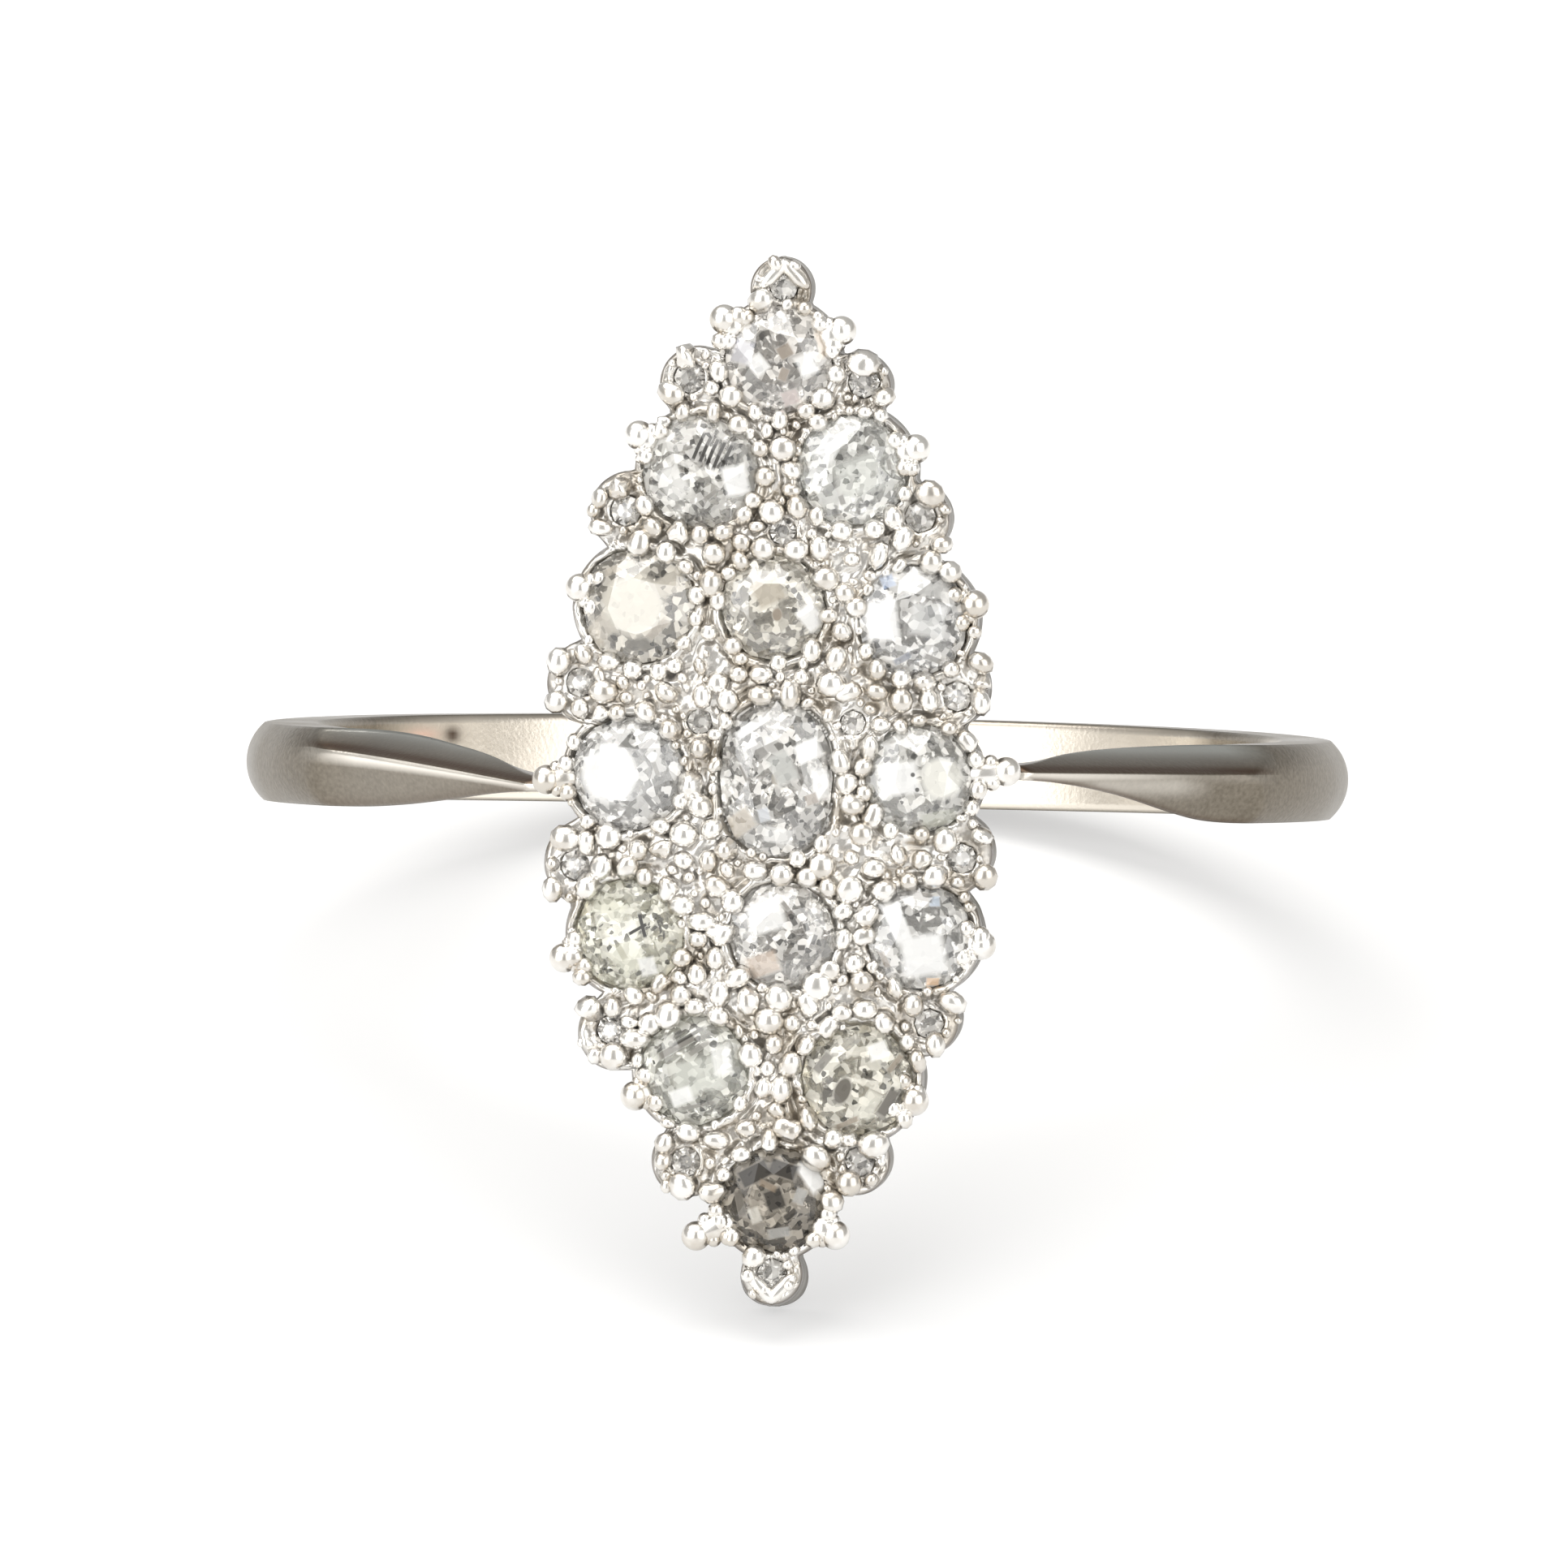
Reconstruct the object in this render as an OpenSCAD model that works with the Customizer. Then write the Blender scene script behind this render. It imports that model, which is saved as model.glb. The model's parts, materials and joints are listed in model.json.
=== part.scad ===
// Navette ring: a boat-shaped cluster of old-cut stones on a band with knife-edge shoulders.
// It is drawn upright (across = X, along the finger = Y, out of the finger = Z, origin at the
// middle of the finger hole) and then laid on its side, resting on one tip of the head and on
// the back of the band.

/* [Band] */
// Radius of the finger hole
finger_r = 8.6; // [7.5:0.1:10.5]
// Thickness of the band at the middle of its width
band_thick = 1.25; // [1:0.05:1.6]
// Width of the band at the back of the finger
band_back_w = 1.64; // [1.5:0.02:1.8]
// Width of the band at the sides
band_side_w = 1.38; // [1.3:0.02:1.6]
// How far the band is turned against the head, seen from above, in degrees
band_turn = 0.5; // [0:0.1:1]
// Radius of the rounded outside, seen in section
band_crown_r = 0.92; // [0.88:0.02:1.4]

/* [Shoulders] */
// Distance across from the middle to each shoulder's point
shoulder_tip_x = 4.4; // [4.3:0.05:4.6]
// Height of each shoulder's point over the middle of the finger hole
shoulder_tip_z = 9.3; // [9:0.05:9.5]
// Distance across to the place where each ridge starts on the band
ridge_start_x = 8.5; // [8:0.1:8.8]
// Steepness of the narrow slope above each ridge, in degrees
upper_slope = 58; // [50:1:65]
// Steepness of the broad slope below each ridge, in degrees
lower_slope = 30; // [25:1:40]

/* [Head] */
// Height of the plate's middle over the middle of the finger hole
plate_top_z = 10.2; // [10:0.05:10.4]
// Radius of the plate's dome across the head
dome_r = 15.5; // [14:0.5:20]
// Thickness of the plate
plate_thick = 0.75; // [0.6:0.05:0.9]
// Length of the hollow behind the plate
hollow_length = 16.4; // [15:0.1:16.8]
// Width of the hollow behind the plate
hollow_width = 6.4; // [5.6:0.1:6.6]
// How much further the side wall stands out at the finger than at the top
wall_flare = 0.12; // [0.05:0.01:0.25]

/* [Setting] */
// Metal between an edge stone and the outside of its seat
seat_wall = 0.13; // [0.1:0.01:0.2]
// Air between a stone and the metal
stone_gap = 0.03; // [0.02:0.01:0.06]
// Depth of every stone's girdle under the plate's surface
girdle_depth = 0.06; // [0.02:0.01:0.1]
// Radius of a grain
grain_r = 0.2; // [0.16:0.01:0.22]
// Radius of the ball on a claw
claw_r = 0.27; // [0.22:0.01:0.3]
// Radius of the two bars of a chevron claw
chevron_r = 0.13; // [0.1:0.01:0.16]

/* [Hidden] */
// Where each shoulder's point and the start of its ridge lie along the finger: left, right
SHOULDER_TIP_Y = [-0.15, 0.21];
RIDGE_START_Y = [0.35, 0.17];
// Edges of a shoulder seen from above: distance across, left lower and upper, right lower and upper
SHOULDER_EDGES = [
    [4.5, -0.28, -0.02,  0.08, 0.34],
    [5.1, -0.33,  0.30,  0.02, 0.50],
    [5.8, -0.43,  0.49, -0.09, 0.58],
    [6.5, -0.53,  0.60, -0.25, 0.63],
    [7.2, -0.62,  0.67, -0.47, 0.66],
    [8.0, -0.71,  0.71, -0.71, 0.71]
];

// Main stones: name, x, y, width, length, turn in degrees
MAIN_STONES = [
    ["stone_1",        -0.03,  7.33, 1.95, 1.95,   8],
    ["stone_2_left",   -1.37,  5.36, 2.10, 2.00, -20],
    ["stone_2_right",   1.26,  5.42, 1.90, 2.00,  12],
    ["stone_3_left",   -2.42,  3.02, 2.08, 2.08,   5],
    ["stone_3_middle", -0.08,  3.02, 1.85, 1.85,  20],
    ["stone_3_right",   2.35,  2.81, 1.98, 1.98,   0],
    ["stone_4_left",   -2.58,  0.10, 2.05, 2.05,  15],
    ["stone_4_middle",  0.00,  0.04, 2.05, 2.85,   0],
    ["stone_4_right",   2.47,  0.06, 1.95, 1.95,  10],
    ["stone_5_left",   -2.53, -2.69, 1.98, 1.98, -12],
    ["stone_5_middle",  0.13, -2.68, 1.90, 1.90,  25],
    ["stone_5_right",   2.51, -2.68, 1.90, 1.90,   6],
    ["stone_6_left",   -1.37, -5.05, 1.93, 1.93,  30],
    ["stone_6_right",   1.46, -5.18, 1.98, 1.98,  18],
    ["stone_7",         0.03, -7.28, 1.90, 1.90,   0]
];

// Tiny stones: name, x, y, diameter
CHIPS = [
    ["chip_tip_top",      0.05,  8.60, 0.50],
    ["chip_tip_bottom",   0.00, -8.55, 0.50],
    ["chip_1_left",      -1.58,  7.00, 0.55],
    ["chip_1_right",      1.46,  6.95, 0.55],
    ["chip_2_left",      -2.68,  4.68, 0.55],
    ["chip_2_right",      2.46,  4.62, 0.55],
    ["chip_3_left",      -3.45,  1.68, 0.52],
    ["chip_3_right",      3.13,  1.50, 0.52],
    ["chip_4_left",      -3.52, -1.50, 0.52],
    ["chip_4_right",      3.24, -1.32, 0.52],
    ["chip_5_left",      -2.85, -4.36, 0.52],
    ["chip_5_right",      2.70, -4.20, 0.52],
    ["chip_6_left",      -1.52, -6.64, 0.52],
    ["chip_6_right",      1.52, -6.60, 0.52],
    ["chip_upper",        0.07,  4.34, 0.46],
    ["chip_middle_left", -1.35,  1.02, 0.44],
    ["chip_middle_right", 1.32,  1.02, 0.44]
];

// Lobes of the scalloped edge, between two edge stones: x, y, radius
LOBES = [
    [-1.46,  6.90, 0.58], [ 1.34,  6.88, 0.52],
    [-2.62,  4.66, 0.63], [ 2.36,  4.58, 0.56],
    [-3.32,  1.68, 0.66], [ 3.00,  1.62, 0.60],
    [-3.30, -1.46, 0.70], [ 3.06, -1.24, 0.64],
    [-2.78, -4.40, 0.60], [ 2.58, -4.12, 0.58],
    [-1.50, -6.62, 0.56], [ 1.44, -6.58, 0.54]
];

// Balls on the claws of the edge stones: x, y, row of the stone in MAIN_STONES
CLAWS = [
    [-0.98,  8.02,  0], [ 1.06,  7.84,  0], [-2.45,  5.99,  1], [ 2.36,  5.80,  2],
    [-3.46,  3.32,  3], [ 3.40,  3.10,  5], [-4.02, -0.02,  6], [ 3.98,  0.20,  8],
    [-3.68, -3.12,  9], [ 3.58, -2.82, 11], [-2.41, -5.50, 12], [ 2.44, -5.54, 13],
    [-1.32, -7.92, 14], [ 1.10, -7.88, 14]
];

// Grains: x, y
GRAINS = [
    [-1.60,  7.28], [-1.82,  6.76], [ 1.42,  7.20], [ 1.72,  6.72],
    [-2.74,  4.98], [-3.00,  4.42], [ 2.56,  4.94], [ 2.76,  4.20],
    [-3.70,  1.98], [-3.76,  1.38], [ 3.42,  2.02], [ 3.42,  1.46],
    [-3.62, -1.12], [-3.78, -1.86], [ 3.48, -0.98], [ 3.60, -1.62],
    [-3.14, -4.06], [-2.78, -4.74], [ 3.00, -3.86], [ 2.76, -4.48],
    [-1.80, -6.34], [-1.54, -6.96], [ 1.66, -6.34], [ 1.34, -6.90],
    [ 0.06,  5.78], [-0.12,  4.68], [ 0.30,  4.74], [-0.26,  4.06],
    [-2.24,  4.44], [ 2.08,  4.60], [ 0.70,  4.04], [ 1.72,  3.96],
    [-1.16,  3.44], [-1.18,  2.56], [ 1.12,  2.60], [ 1.14,  3.28],
    [-2.06,  1.86], [ 0.44,  1.80], [ 0.92,  1.70], [-0.66,  1.82],
    [ 1.22,  1.56], [ 2.12,  1.42], [-1.32,  1.46], [-1.34,  0.56],
    [ 1.30, -0.40], [-1.30, -0.42], [-2.36, -1.20], [-3.08, -1.52],
    [-1.16, -1.40], [-0.36, -1.56], [ 0.38, -1.32], [ 1.30, -1.30],
    [ 2.12, -1.26], [ 2.98, -1.08], [-1.26, -2.44], [-1.02, -3.06],
    [ 1.14, -2.26], [ 1.38, -3.16], [-1.62, -3.74], [-2.16, -4.24],
    [-0.42, -3.82], [ 0.58, -3.86], [ 1.60, -3.94], [ 2.46, -3.96],
    [ 0.00, -4.58], [-0.16, -5.34], [ 0.14, -5.36], [-0.50, -6.04],
    [ 0.26, -6.04], [-1.08, -6.30], [ 1.08, -6.22], [-1.10,  3.98],
    [ 2.60,  1.42]
];

// Proportions of a round old cut, as parts of its diameter
TABLE_SHARE = 0.50;
STAR_SHARE = 0.76;
CULET_SHARE = 0.10;
LOWER_SHARE = 0.34;
CROWN_SHARE = 0.165;
PAVILION_SHARE = 0.40;
GIRDLE_SHARE = 0.03;
// Corner fullness of an old cut: its sides lie this much nearer its middle than its corners
CUSHION = 0.045;

band_outer_r = finger_r + band_thick;
plate_under_r = dome_r - plate_thick;
dome_axis_z = plate_top_z - dome_r;
wall_foot_r = finger_r + 0.15;
tip_x = [0.05, 0];
tip_y = 8.57;
tip_r = 0.55;
chevron_y = tip_y + tip_r - chevron_r;
smooth = 96;
ball_smooth = 32;

// The lowest points at rest: the foot of the lower tip, and the back edge of the band
rest_tip_y = tip_y + tip_r + wall_flare;
rest_edge_y = band_back_w / 2;
rest_edge_z = band_outer_r - band_crown_r
    + sqrt(band_crown_r * band_crown_r - rest_edge_y * rest_edge_y);
lean = atan((rest_tip_y - rest_edge_y) / (wall_foot_r + rest_edge_z));
rest_lift = rest_tip_y * cos(lean) - wall_foot_r * sin(lean);

// How far the lower chevron and the band's back reach from the finger hole's middle at rest
head_reach = plate_top_z * cos(lean) + chevron_y * sin(lean) + chevron_r;
back_reach = (band_outer_r - band_crown_r) * cos(lean) + band_crown_r;
rest_shift = (head_reach - back_reach) / 2;

// Height of the plate's dome at a distance across
function dome_z(x) = dome_axis_z + sqrt(dome_r * dome_r - x * x);
// Tilt of the dome's surface at a distance across
function dome_tilt(x) = asin(x / dome_r);

// Moves what is drawn on the level onto the dome, square to its surface
module on_dome(x, y, lift = 0) {
    translate([x, y, dome_z(x)])
        rotate([0, dome_tilt(x), 0])
            translate([0, 0, lift])
                children();
}

// Lays the upright ring on its side, with its middle over the origin
module at_rest() {
    translate([0, rest_shift, rest_lift])
        rotate([90 - lean, 0, 0])
            children();
}

// The band: a rounded hoop that narrows towards the shoulders, before the finger hole is cut
module hoop() {
    reach = 12;
    under = 0.3;
    intersection() {
        rotate([90, 0, 0])
            rotate_extrude($fn = smooth)
                intersection() {
                    translate([band_outer_r - band_crown_r, 0])
                        circle(band_crown_r, $fn = 64);
                    translate([finger_r - under, -1])
                        square([band_thick + under, 2]);
                }
        rotate([90, 0, 90])
            linear_extrude(2 * reach, center = true)
                polygon([
                    [-band_back_w / 2, -reach], [band_back_w / 2, -reach],
                    [band_back_w / 2, -band_outer_r], [band_side_w / 2, 0],
                    [band_side_w / 2, reach], [-band_side_w / 2, reach],
                    [-band_side_w / 2, 0], [-band_back_w / 2, -band_outer_r]
                ]);
    }
}

// Radius and middle of the arc that leaves the band smoothly and rises to the shoulder's point
rise_start_z = sqrt(band_outer_r * band_outer_r - ridge_start_x * ridge_start_x);
rise_dx = ridge_start_x - shoulder_tip_x;
rise_dz = shoulder_tip_z - rise_start_z;
rise_out_x = ridge_start_x / band_outer_r;
rise_out_z = rise_start_z / band_outer_r;
rise_r = (rise_dx * rise_dx + rise_dz * rise_dz)
    / (2 * (rise_dx * rise_out_x - rise_dz * rise_out_z));
rise_x = ridge_start_x - rise_r * rise_out_x;
rise_z = rise_start_z - rise_r * rise_out_z;

// One raised shoulder before it is filed, on the right
module shoulder_blank() {
    head_side_x = 3.4;
    intersection() {
        translate([rise_x, 0, rise_z])
            rotate([90, 0, 0])
                cylinder(h = band_side_w, r = rise_r, center = true, $fn = smooth);
        translate([head_side_x, -1, rise_start_z])
            cube([ridge_start_x - head_side_x, 2, shoulder_tip_z - rise_start_z + 0.1]);
    }
}

// A block whose lower face lies along the ridge line and slopes down on one side of it. Row 0 is
// the left shoulder and row 1 the right one, and both are drawn on the right
module ridge_file(row, side) {
    ridge_z = rise_start_z + 0.02;
    run = ridge_start_x - shoulder_tip_x;
    shift = RIDGE_START_Y[row] - SHOULDER_TIP_Y[row];
    drop = shoulder_tip_z - ridge_z;
    slope = side > 0 ? upper_slope : lower_slope;
    translate([shoulder_tip_x, SHOULDER_TIP_Y[row], shoulder_tip_z])
        rotate([-side * slope, atan2(drop, norm([run, shift])), atan2(shift, run)])
            translate([-4, -8, 0])
                cube([16, 16, 8]);
}

// What is filed off one shoulder: both slopes and what lies outside its edges seen from above
module shoulder_waste(row) {
    head_side_x = 3.1;
    foot_z = 2.7;
    far_y = 1.7;
    for (side = [-1, 1]) {
        column = 2 * row + (side > 0 ? 2 : 1);
        ridge_file(row, side);
        translate([0, 0, foot_z])
            linear_extrude(8.7)
                polygon(concat(
                    [[head_side_x, SHOULDER_EDGES[0][column]]],
                    [for (e = SHOULDER_EDGES) [e[0], e[column]]],
                    [[SHOULDER_EDGES[5][0], side * far_y], [head_side_x, side * far_y]]
                ));
    }
}

// Band and shoulders, filed, without the stretch under the head. They are turned a little against
// the head, but the finger hole is not
module shank() {
    gap_half = 3.3;
    difference() {
        rotate([0, 0, -band_turn])
            difference() {
                union() {
                    hoop();
                    shoulder_blank();
                    mirror([1, 0, 0]) shoulder_blank();
                }
                shoulder_waste(1);
                mirror([1, 0, 0]) shoulder_waste(0);
            }
        translate([-gap_half, -2, 3])
            cube([2 * gap_half, 4, 9]);
        rotate([90, 0, 0])
            cylinder(h = 4, r = finger_r, center = true, $fn = smooth);
    }
}

// A boat shape of two arcs, standing on the level
module boat(length, width, height) {
    arc_r = (length * length + width * width) / (4 * width);
    intersection() {
        translate([arc_r - width / 2, 0, 0])
            cylinder(h = height, r = arc_r, $fn = smooth);
        translate([width / 2 - arc_r, 0, 0])
            cylinder(h = height, r = arc_r, $fn = smooth);
    }
}

// Radius of a wall post at a height, from its radius at the top of the plate
function post_r(r, z) = r + wall_flare * (plate_top_z - z) / (plate_top_z - wall_foot_r);

// One flared post of the scalloped wall
module wall_post(x, y, r) {
    foot_z = 6.5;
    head_z = 11;
    translate([x, y, foot_z])
        cylinder(h = head_z - foot_z, r1 = post_r(r, foot_z), r2 = post_r(r, head_z), $fn = 64);
}

// Scalloped head with its domed top, hollow behind, closed at the finger by the finger's curve
module head_blank() {
    intersection() {
        union() {
            translate([0, 0, 6.5])
                boat(17.4, 6.6, 4.5);
            for (s = MAIN_STONES)
                if (norm([s[1] / 3, s[2] / 9]) > 0.6)
                    wall_post(s[1], s[2], s[3] / 2 + seat_wall);
            for (l = LOBES)
                wall_post(l[0], l[1], l[2]);
            wall_post(tip_x[0], tip_y, tip_r);
            wall_post(tip_x[1], -tip_y, tip_r);
        }
        translate([0, 0, dome_axis_z])
            rotate([90, 0, 0])
                cylinder(h = 24, r = dome_r, center = true, $fn = smooth);
    }
}

// Space behind the plate and inside the finger's curve
module head_hollow() {
    rotate([90, 0, 0])
        cylinder(h = 24, r = wall_foot_r, center = true, $fn = smooth);
    intersection() {
        translate([0, 0, 6])
            boat(hollow_length, hollow_width, 5);
        translate([0, 0, dome_axis_z])
            rotate([90, 0, 0])
                cylinder(h = 24, r = plate_under_r, center = true, $fn = smooth);
    }
}

// Claws: a ball on a neck that leans in to the stone, and a post down the side wall
module claws() {
    neck_r = claw_r * 0.75;
    for (c = CLAWS) {
        stone = MAIN_STONES[c[2]];
        reach = [stone[1] - c[0], stone[2] - c[1]];
        foot = [c[0], c[1]] + reach * (0.42 / norm(reach));
        on_dome(c[0], c[1], 0.02)
            sphere(claw_r, $fn = ball_smooth);
        translate([c[0], c[1], dome_z(c[0]) - 0.02])
            rotate([0, 90, atan2(reach[1], reach[0])])
                cylinder(h = 0.55, r = neck_r, $fn = ball_smooth);
        translate([foot[0], foot[1], dome_z(c[0]) - 1.6])
            rotate([0, -14, atan2(reach[1], reach[0])])
                cylinder(h = 1.6, r = neck_r, $fn = ball_smooth);
    }
}

// Grains raised between the stones
module grains() {
    for (g = GRAINS)
        on_dome(g[0], g[1], 0.09)
            sphere(grain_r, $fn = ball_smooth);
}

// Chevron claw at a tip: two round bars that meet in a point
module chevron(x, end) {
    arm = 0.56;
    spread = 46;
    translate([x, end * chevron_y, plate_top_z]) {
        sphere(chevron_r, $fn = ball_smooth);
        for (side = [-1, 1])
            rotate([0, 0, side * spread - end * 90]) {
                rotate([0, 90, 0])
                    cylinder(h = arm, r = chevron_r, $fn = ball_smooth);
                translate([arm, 0, 0])
                    sphere(chevron_r, $fn = ball_smooth);
            }
    }
}

// Right half of a seat in section, clear of the stone by the gap: the hole to the back, the
// pavilion's slope, the girdle, the crown's slope and the way up past the table
function seat_section(d) =
    let (
        r = d / 2,
        edge_z = d * GIRDLE_SHARE + stone_gap,
        pavilion_h = d * PAVILION_SHARE,
        crown_h = d * CROWN_SHARE,
        through = 2.6
    ) [
        [0.45 * r, -through],
        [0.45 * r, -edge_z - 0.67 * pavilion_h],
        [0.72 * r + stone_gap, -edge_z - 0.43 * pavilion_h],
        [r + stone_gap, -edge_z],
        [r + stone_gap, edge_z],
        [0.8 * r + stone_gap, edge_z + 0.6 * crown_h],
        [TABLE_SHARE * r + stone_gap, edge_z + crown_h],
        [TABLE_SHARE * r + stone_gap, through]
    ];

module seat_round(d) {
    section = seat_section(d);
    rotate_extrude($fn = 64)
        polygon(concat(
            [[0, section[0][1]]], section, [[0, section[len(section) - 1][1]]]
        ));
}

// Seat of the long middle stone: the round seat at both ends and the stretch between them
module seat_long(d, length) {
    shift = (length - d) / 2;
    section = seat_section(d);
    last = len(section) - 1;
    for (end = [-1, 1])
        translate([0, end * shift, 0])
            seat_round(d);
    rotate([90, 0, 0])
        linear_extrude(2 * shift, center = true)
            polygon(concat(section, [for (k = [last:-1:0]) [-section[k][0], section[k][1]]]));
}

module seats() {
    for (s = MAIN_STONES)
        on_dome(s[1], s[2], -girdle_depth)
            if (s[4] - s[3] > 0.3)
                seat_long(s[3], s[4]);
            else
                seat_round(max(s[3], s[4]));
    for (c = CHIPS)
        on_dome(c[1], c[2], -girdle_depth)
            seat_round(c[3]);
}

module ring_metal() {
    color("gainsboro")
        at_rest()
            difference() {
                union() {
                    shank();
                    difference() {
                        union() {
                            head_blank();
                            claws();
                        }
                        head_hollow();
                    }
                    grains();
                    chevron(tip_x[0], 1);
                    chevron(tip_x[1], -1);
                }
                seats();
            }
}

// Outline of an old cut at an angle: a round that is a little fuller on its diagonals
function cushion_r(a) = 1 - CUSHION * (1 + cos(4 * a)) / 2;
function ring_point(w, l, share, a, z) = [
    w / 2 * share * cushion_r(a) * cos(a), l / 2 * share * cushion_r(a) * sin(a), z
];

// A faceted stone with its girdle on the level: a table, star, kite and girdle facets above,
// long kites and lower girdle facets below, and a small flat culet
module cut_stone(w, l) {
    d = min(w, l);
    crown_z = d * (CROWN_SHARE + GIRDLE_SHARE);
    girdle_z = d * GIRDLE_SHARE;
    culet_z = -d * (PAVILION_SHARE + GIRDLE_SHARE);
    star_z = girdle_z + d * CROWN_SHARE * (1 - STAR_SHARE * cos(22.5)) / (1 - TABLE_SHARE);
    lower_z = -girdle_z - d * PAVILION_SHARE * (1 - LOWER_SHARE * 2 * cos(22.5)) / (1 - CULET_SHARE);
    points = concat(
        [for (k = [0:7]) ring_point(w, l, TABLE_SHARE, 45 * k, crown_z)],
        [for (k = [0:7]) ring_point(w, l, STAR_SHARE, 45 * k + 22.5, star_z)],
        [for (k = [0:15]) ring_point(w, l, 1, 22.5 * k, girdle_z)],
        [for (k = [0:15]) ring_point(w, l, 1, 22.5 * k, -girdle_z)],
        [for (k = [0:7]) ring_point(w, l, 2 * LOWER_SHARE, 45 * k + 22.5, lower_z)],
        [for (k = [0:7]) ring_point(w, l, CULET_SHARE, 45 * k + 22.5, culet_z)]
    );
    table = 0;
    star = 8;
    upper = 16;
    under = 32;
    lower = 48;
    culet = 56;
    faces = concat(
        [[for (k = [7:-1:0]) table + k]],
        [for (k = [0:7]) [table + k, table + (k + 1) % 8, star + k]],
        [for (k = [0:7]) [table + k, star + k, upper + 2 * k]],
        [for (k = [0:7]) [table + k, upper + 2 * k, star + (k + 7) % 8]],
        [for (k = [0:7]) [star + k, upper + 2 * k + 1, upper + 2 * k]],
        [for (k = [0:7]) [star + k, upper + (2 * k + 2) % 16, upper + 2 * k + 1]],
        [for (k = [0:15]) [upper + k, upper + (k + 1) % 16, under + k]],
        [for (k = [0:15]) [upper + (k + 1) % 16, under + (k + 1) % 16, under + k]],
        [for (k = [0:7]) [lower + k, under + 2 * k, under + 2 * k + 1]],
        [for (k = [0:7]) [lower + k, under + 2 * k + 1, under + (2 * k + 2) % 16]],
        [for (k = [0:7]) [under + 2 * k, lower + k, culet + k]],
        [for (k = [0:7]) [under + 2 * k, culet + k, culet + (k + 7) % 8]],
        [for (k = [0:7]) [under + 2 * k, culet + (k + 7) % 8, lower + (k + 7) % 8]],
        [[for (k = [0:7]) culet + k]]
    );
    polyhedron(points, faces);
}

// A tiny single cut: an eight-sided table, crown, girdle and pavilion
module cut_chip(d) {
    levels = [
        [TABLE_SHARE, CROWN_SHARE + GIRDLE_SHARE], [1, GIRDLE_SHARE],
        [1, -GIRDLE_SHARE], [CULET_SHARE, -PAVILION_SHARE - GIRDLE_SHARE]
    ];
    points = [for (v = levels) for (k = [0:7])
        [d / 2 * v[0] * cos(45 * k), d / 2 * v[0] * sin(45 * k), d * v[1]]];
    faces = concat(
        [[for (k = [7:-1:0]) k]],
        [for (row = [0:2]) for (k = [0:7])
            [8 * row + k, 8 * row + (k + 1) % 8, 8 * row + 8 + (k + 1) % 8, 8 * row + 8 + k]],
        [[for (k = [0:7]) 24 + k]]
    );
    polyhedron(points, faces);
}

module main_stone(s) {
    color("white")
        at_rest()
            on_dome(s[1], s[2], -girdle_depth)
                rotate([0, 0, s[4] - s[3] > 0.3 ? 0 : s[5]])
                    cut_stone(s[3], s[4]);
}

module chip(c) {
    color("ghostwhite")
        at_rest()
            on_dome(c[1], c[2], -girdle_depth)
                cut_chip(c[3]);
}

ring_metal();
for (s = MAIN_STONES)
    main_stone(s);
for (c = CHIPS)
    chip(c);
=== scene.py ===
import json
import math

import bpy
import numpy as np
from mathutils import Matrix


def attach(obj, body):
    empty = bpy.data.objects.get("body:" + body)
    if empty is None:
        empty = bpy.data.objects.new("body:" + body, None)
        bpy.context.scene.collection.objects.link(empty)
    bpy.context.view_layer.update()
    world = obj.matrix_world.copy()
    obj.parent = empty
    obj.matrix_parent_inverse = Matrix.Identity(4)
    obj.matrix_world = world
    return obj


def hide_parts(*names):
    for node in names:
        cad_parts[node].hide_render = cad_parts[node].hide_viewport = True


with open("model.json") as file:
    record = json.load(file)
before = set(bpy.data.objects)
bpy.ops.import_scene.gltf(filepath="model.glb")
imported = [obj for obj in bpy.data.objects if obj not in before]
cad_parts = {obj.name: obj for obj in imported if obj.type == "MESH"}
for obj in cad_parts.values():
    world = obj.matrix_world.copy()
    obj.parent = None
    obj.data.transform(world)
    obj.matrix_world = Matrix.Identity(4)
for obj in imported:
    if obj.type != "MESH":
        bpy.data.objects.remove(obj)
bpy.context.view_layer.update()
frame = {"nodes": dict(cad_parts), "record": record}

# How the ring lies
# A ring with a tall head tips over: it rests on the lower tip of the head and on the back of the
# band. The record's finger hole says where its middle is and which way the finger goes.
MM = 0.001
hole = frame["record"]["mounts"][0]
hole_middle = np.array(hole["pos_m"])
across = np.array([1.0, 0.0, 0.0])
along = np.array(hole["axis"])
outward = np.cross(across, along)
upright = np.stack([across, along, outward])


def laid(points):
    """Where points of the upright ring lie at rest, in metres. A point is across, along the
    finger and out of the finger, in millimetres from the middle of the finger hole."""
    return hole_middle + MM * np.asarray(points, float) @ upright


def stood(points):
    """The reverse of laid: from metres at rest to millimetres of the upright ring."""
    return (np.asarray(points, float) - hole_middle) @ upright.T / MM


# Camera
# It looks almost straight at the head, from a little to the right and a little above, so it
# stands over the floor at the head's own lean. The view takes in the hoop and some floor.
VIEW_WIDTH = 28.08
VIEW_MIDDLE = np.array([-0.24, -0.25, 0.0])
VIEW_DISTANCE = 345.0
VIEW_RIGHT = math.radians(2.1)
VIEW_ABOVE = math.radians(1.15)
VIEW_ROLL = math.radians(0.55)

sight = np.array([math.sin(VIEW_RIGHT), math.sin(VIEW_ABOVE), 0.0])
sight[2] = math.sqrt(1 - sight @ sight)
back_axis = sight @ upright
up_axis = math.cos(VIEW_ROLL) * along - math.sin(VIEW_ROLL) * across
right_axis = np.cross(up_axis, back_axis)
right_axis /= np.linalg.norm(right_axis)
up_axis = np.cross(back_axis, right_axis)

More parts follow.
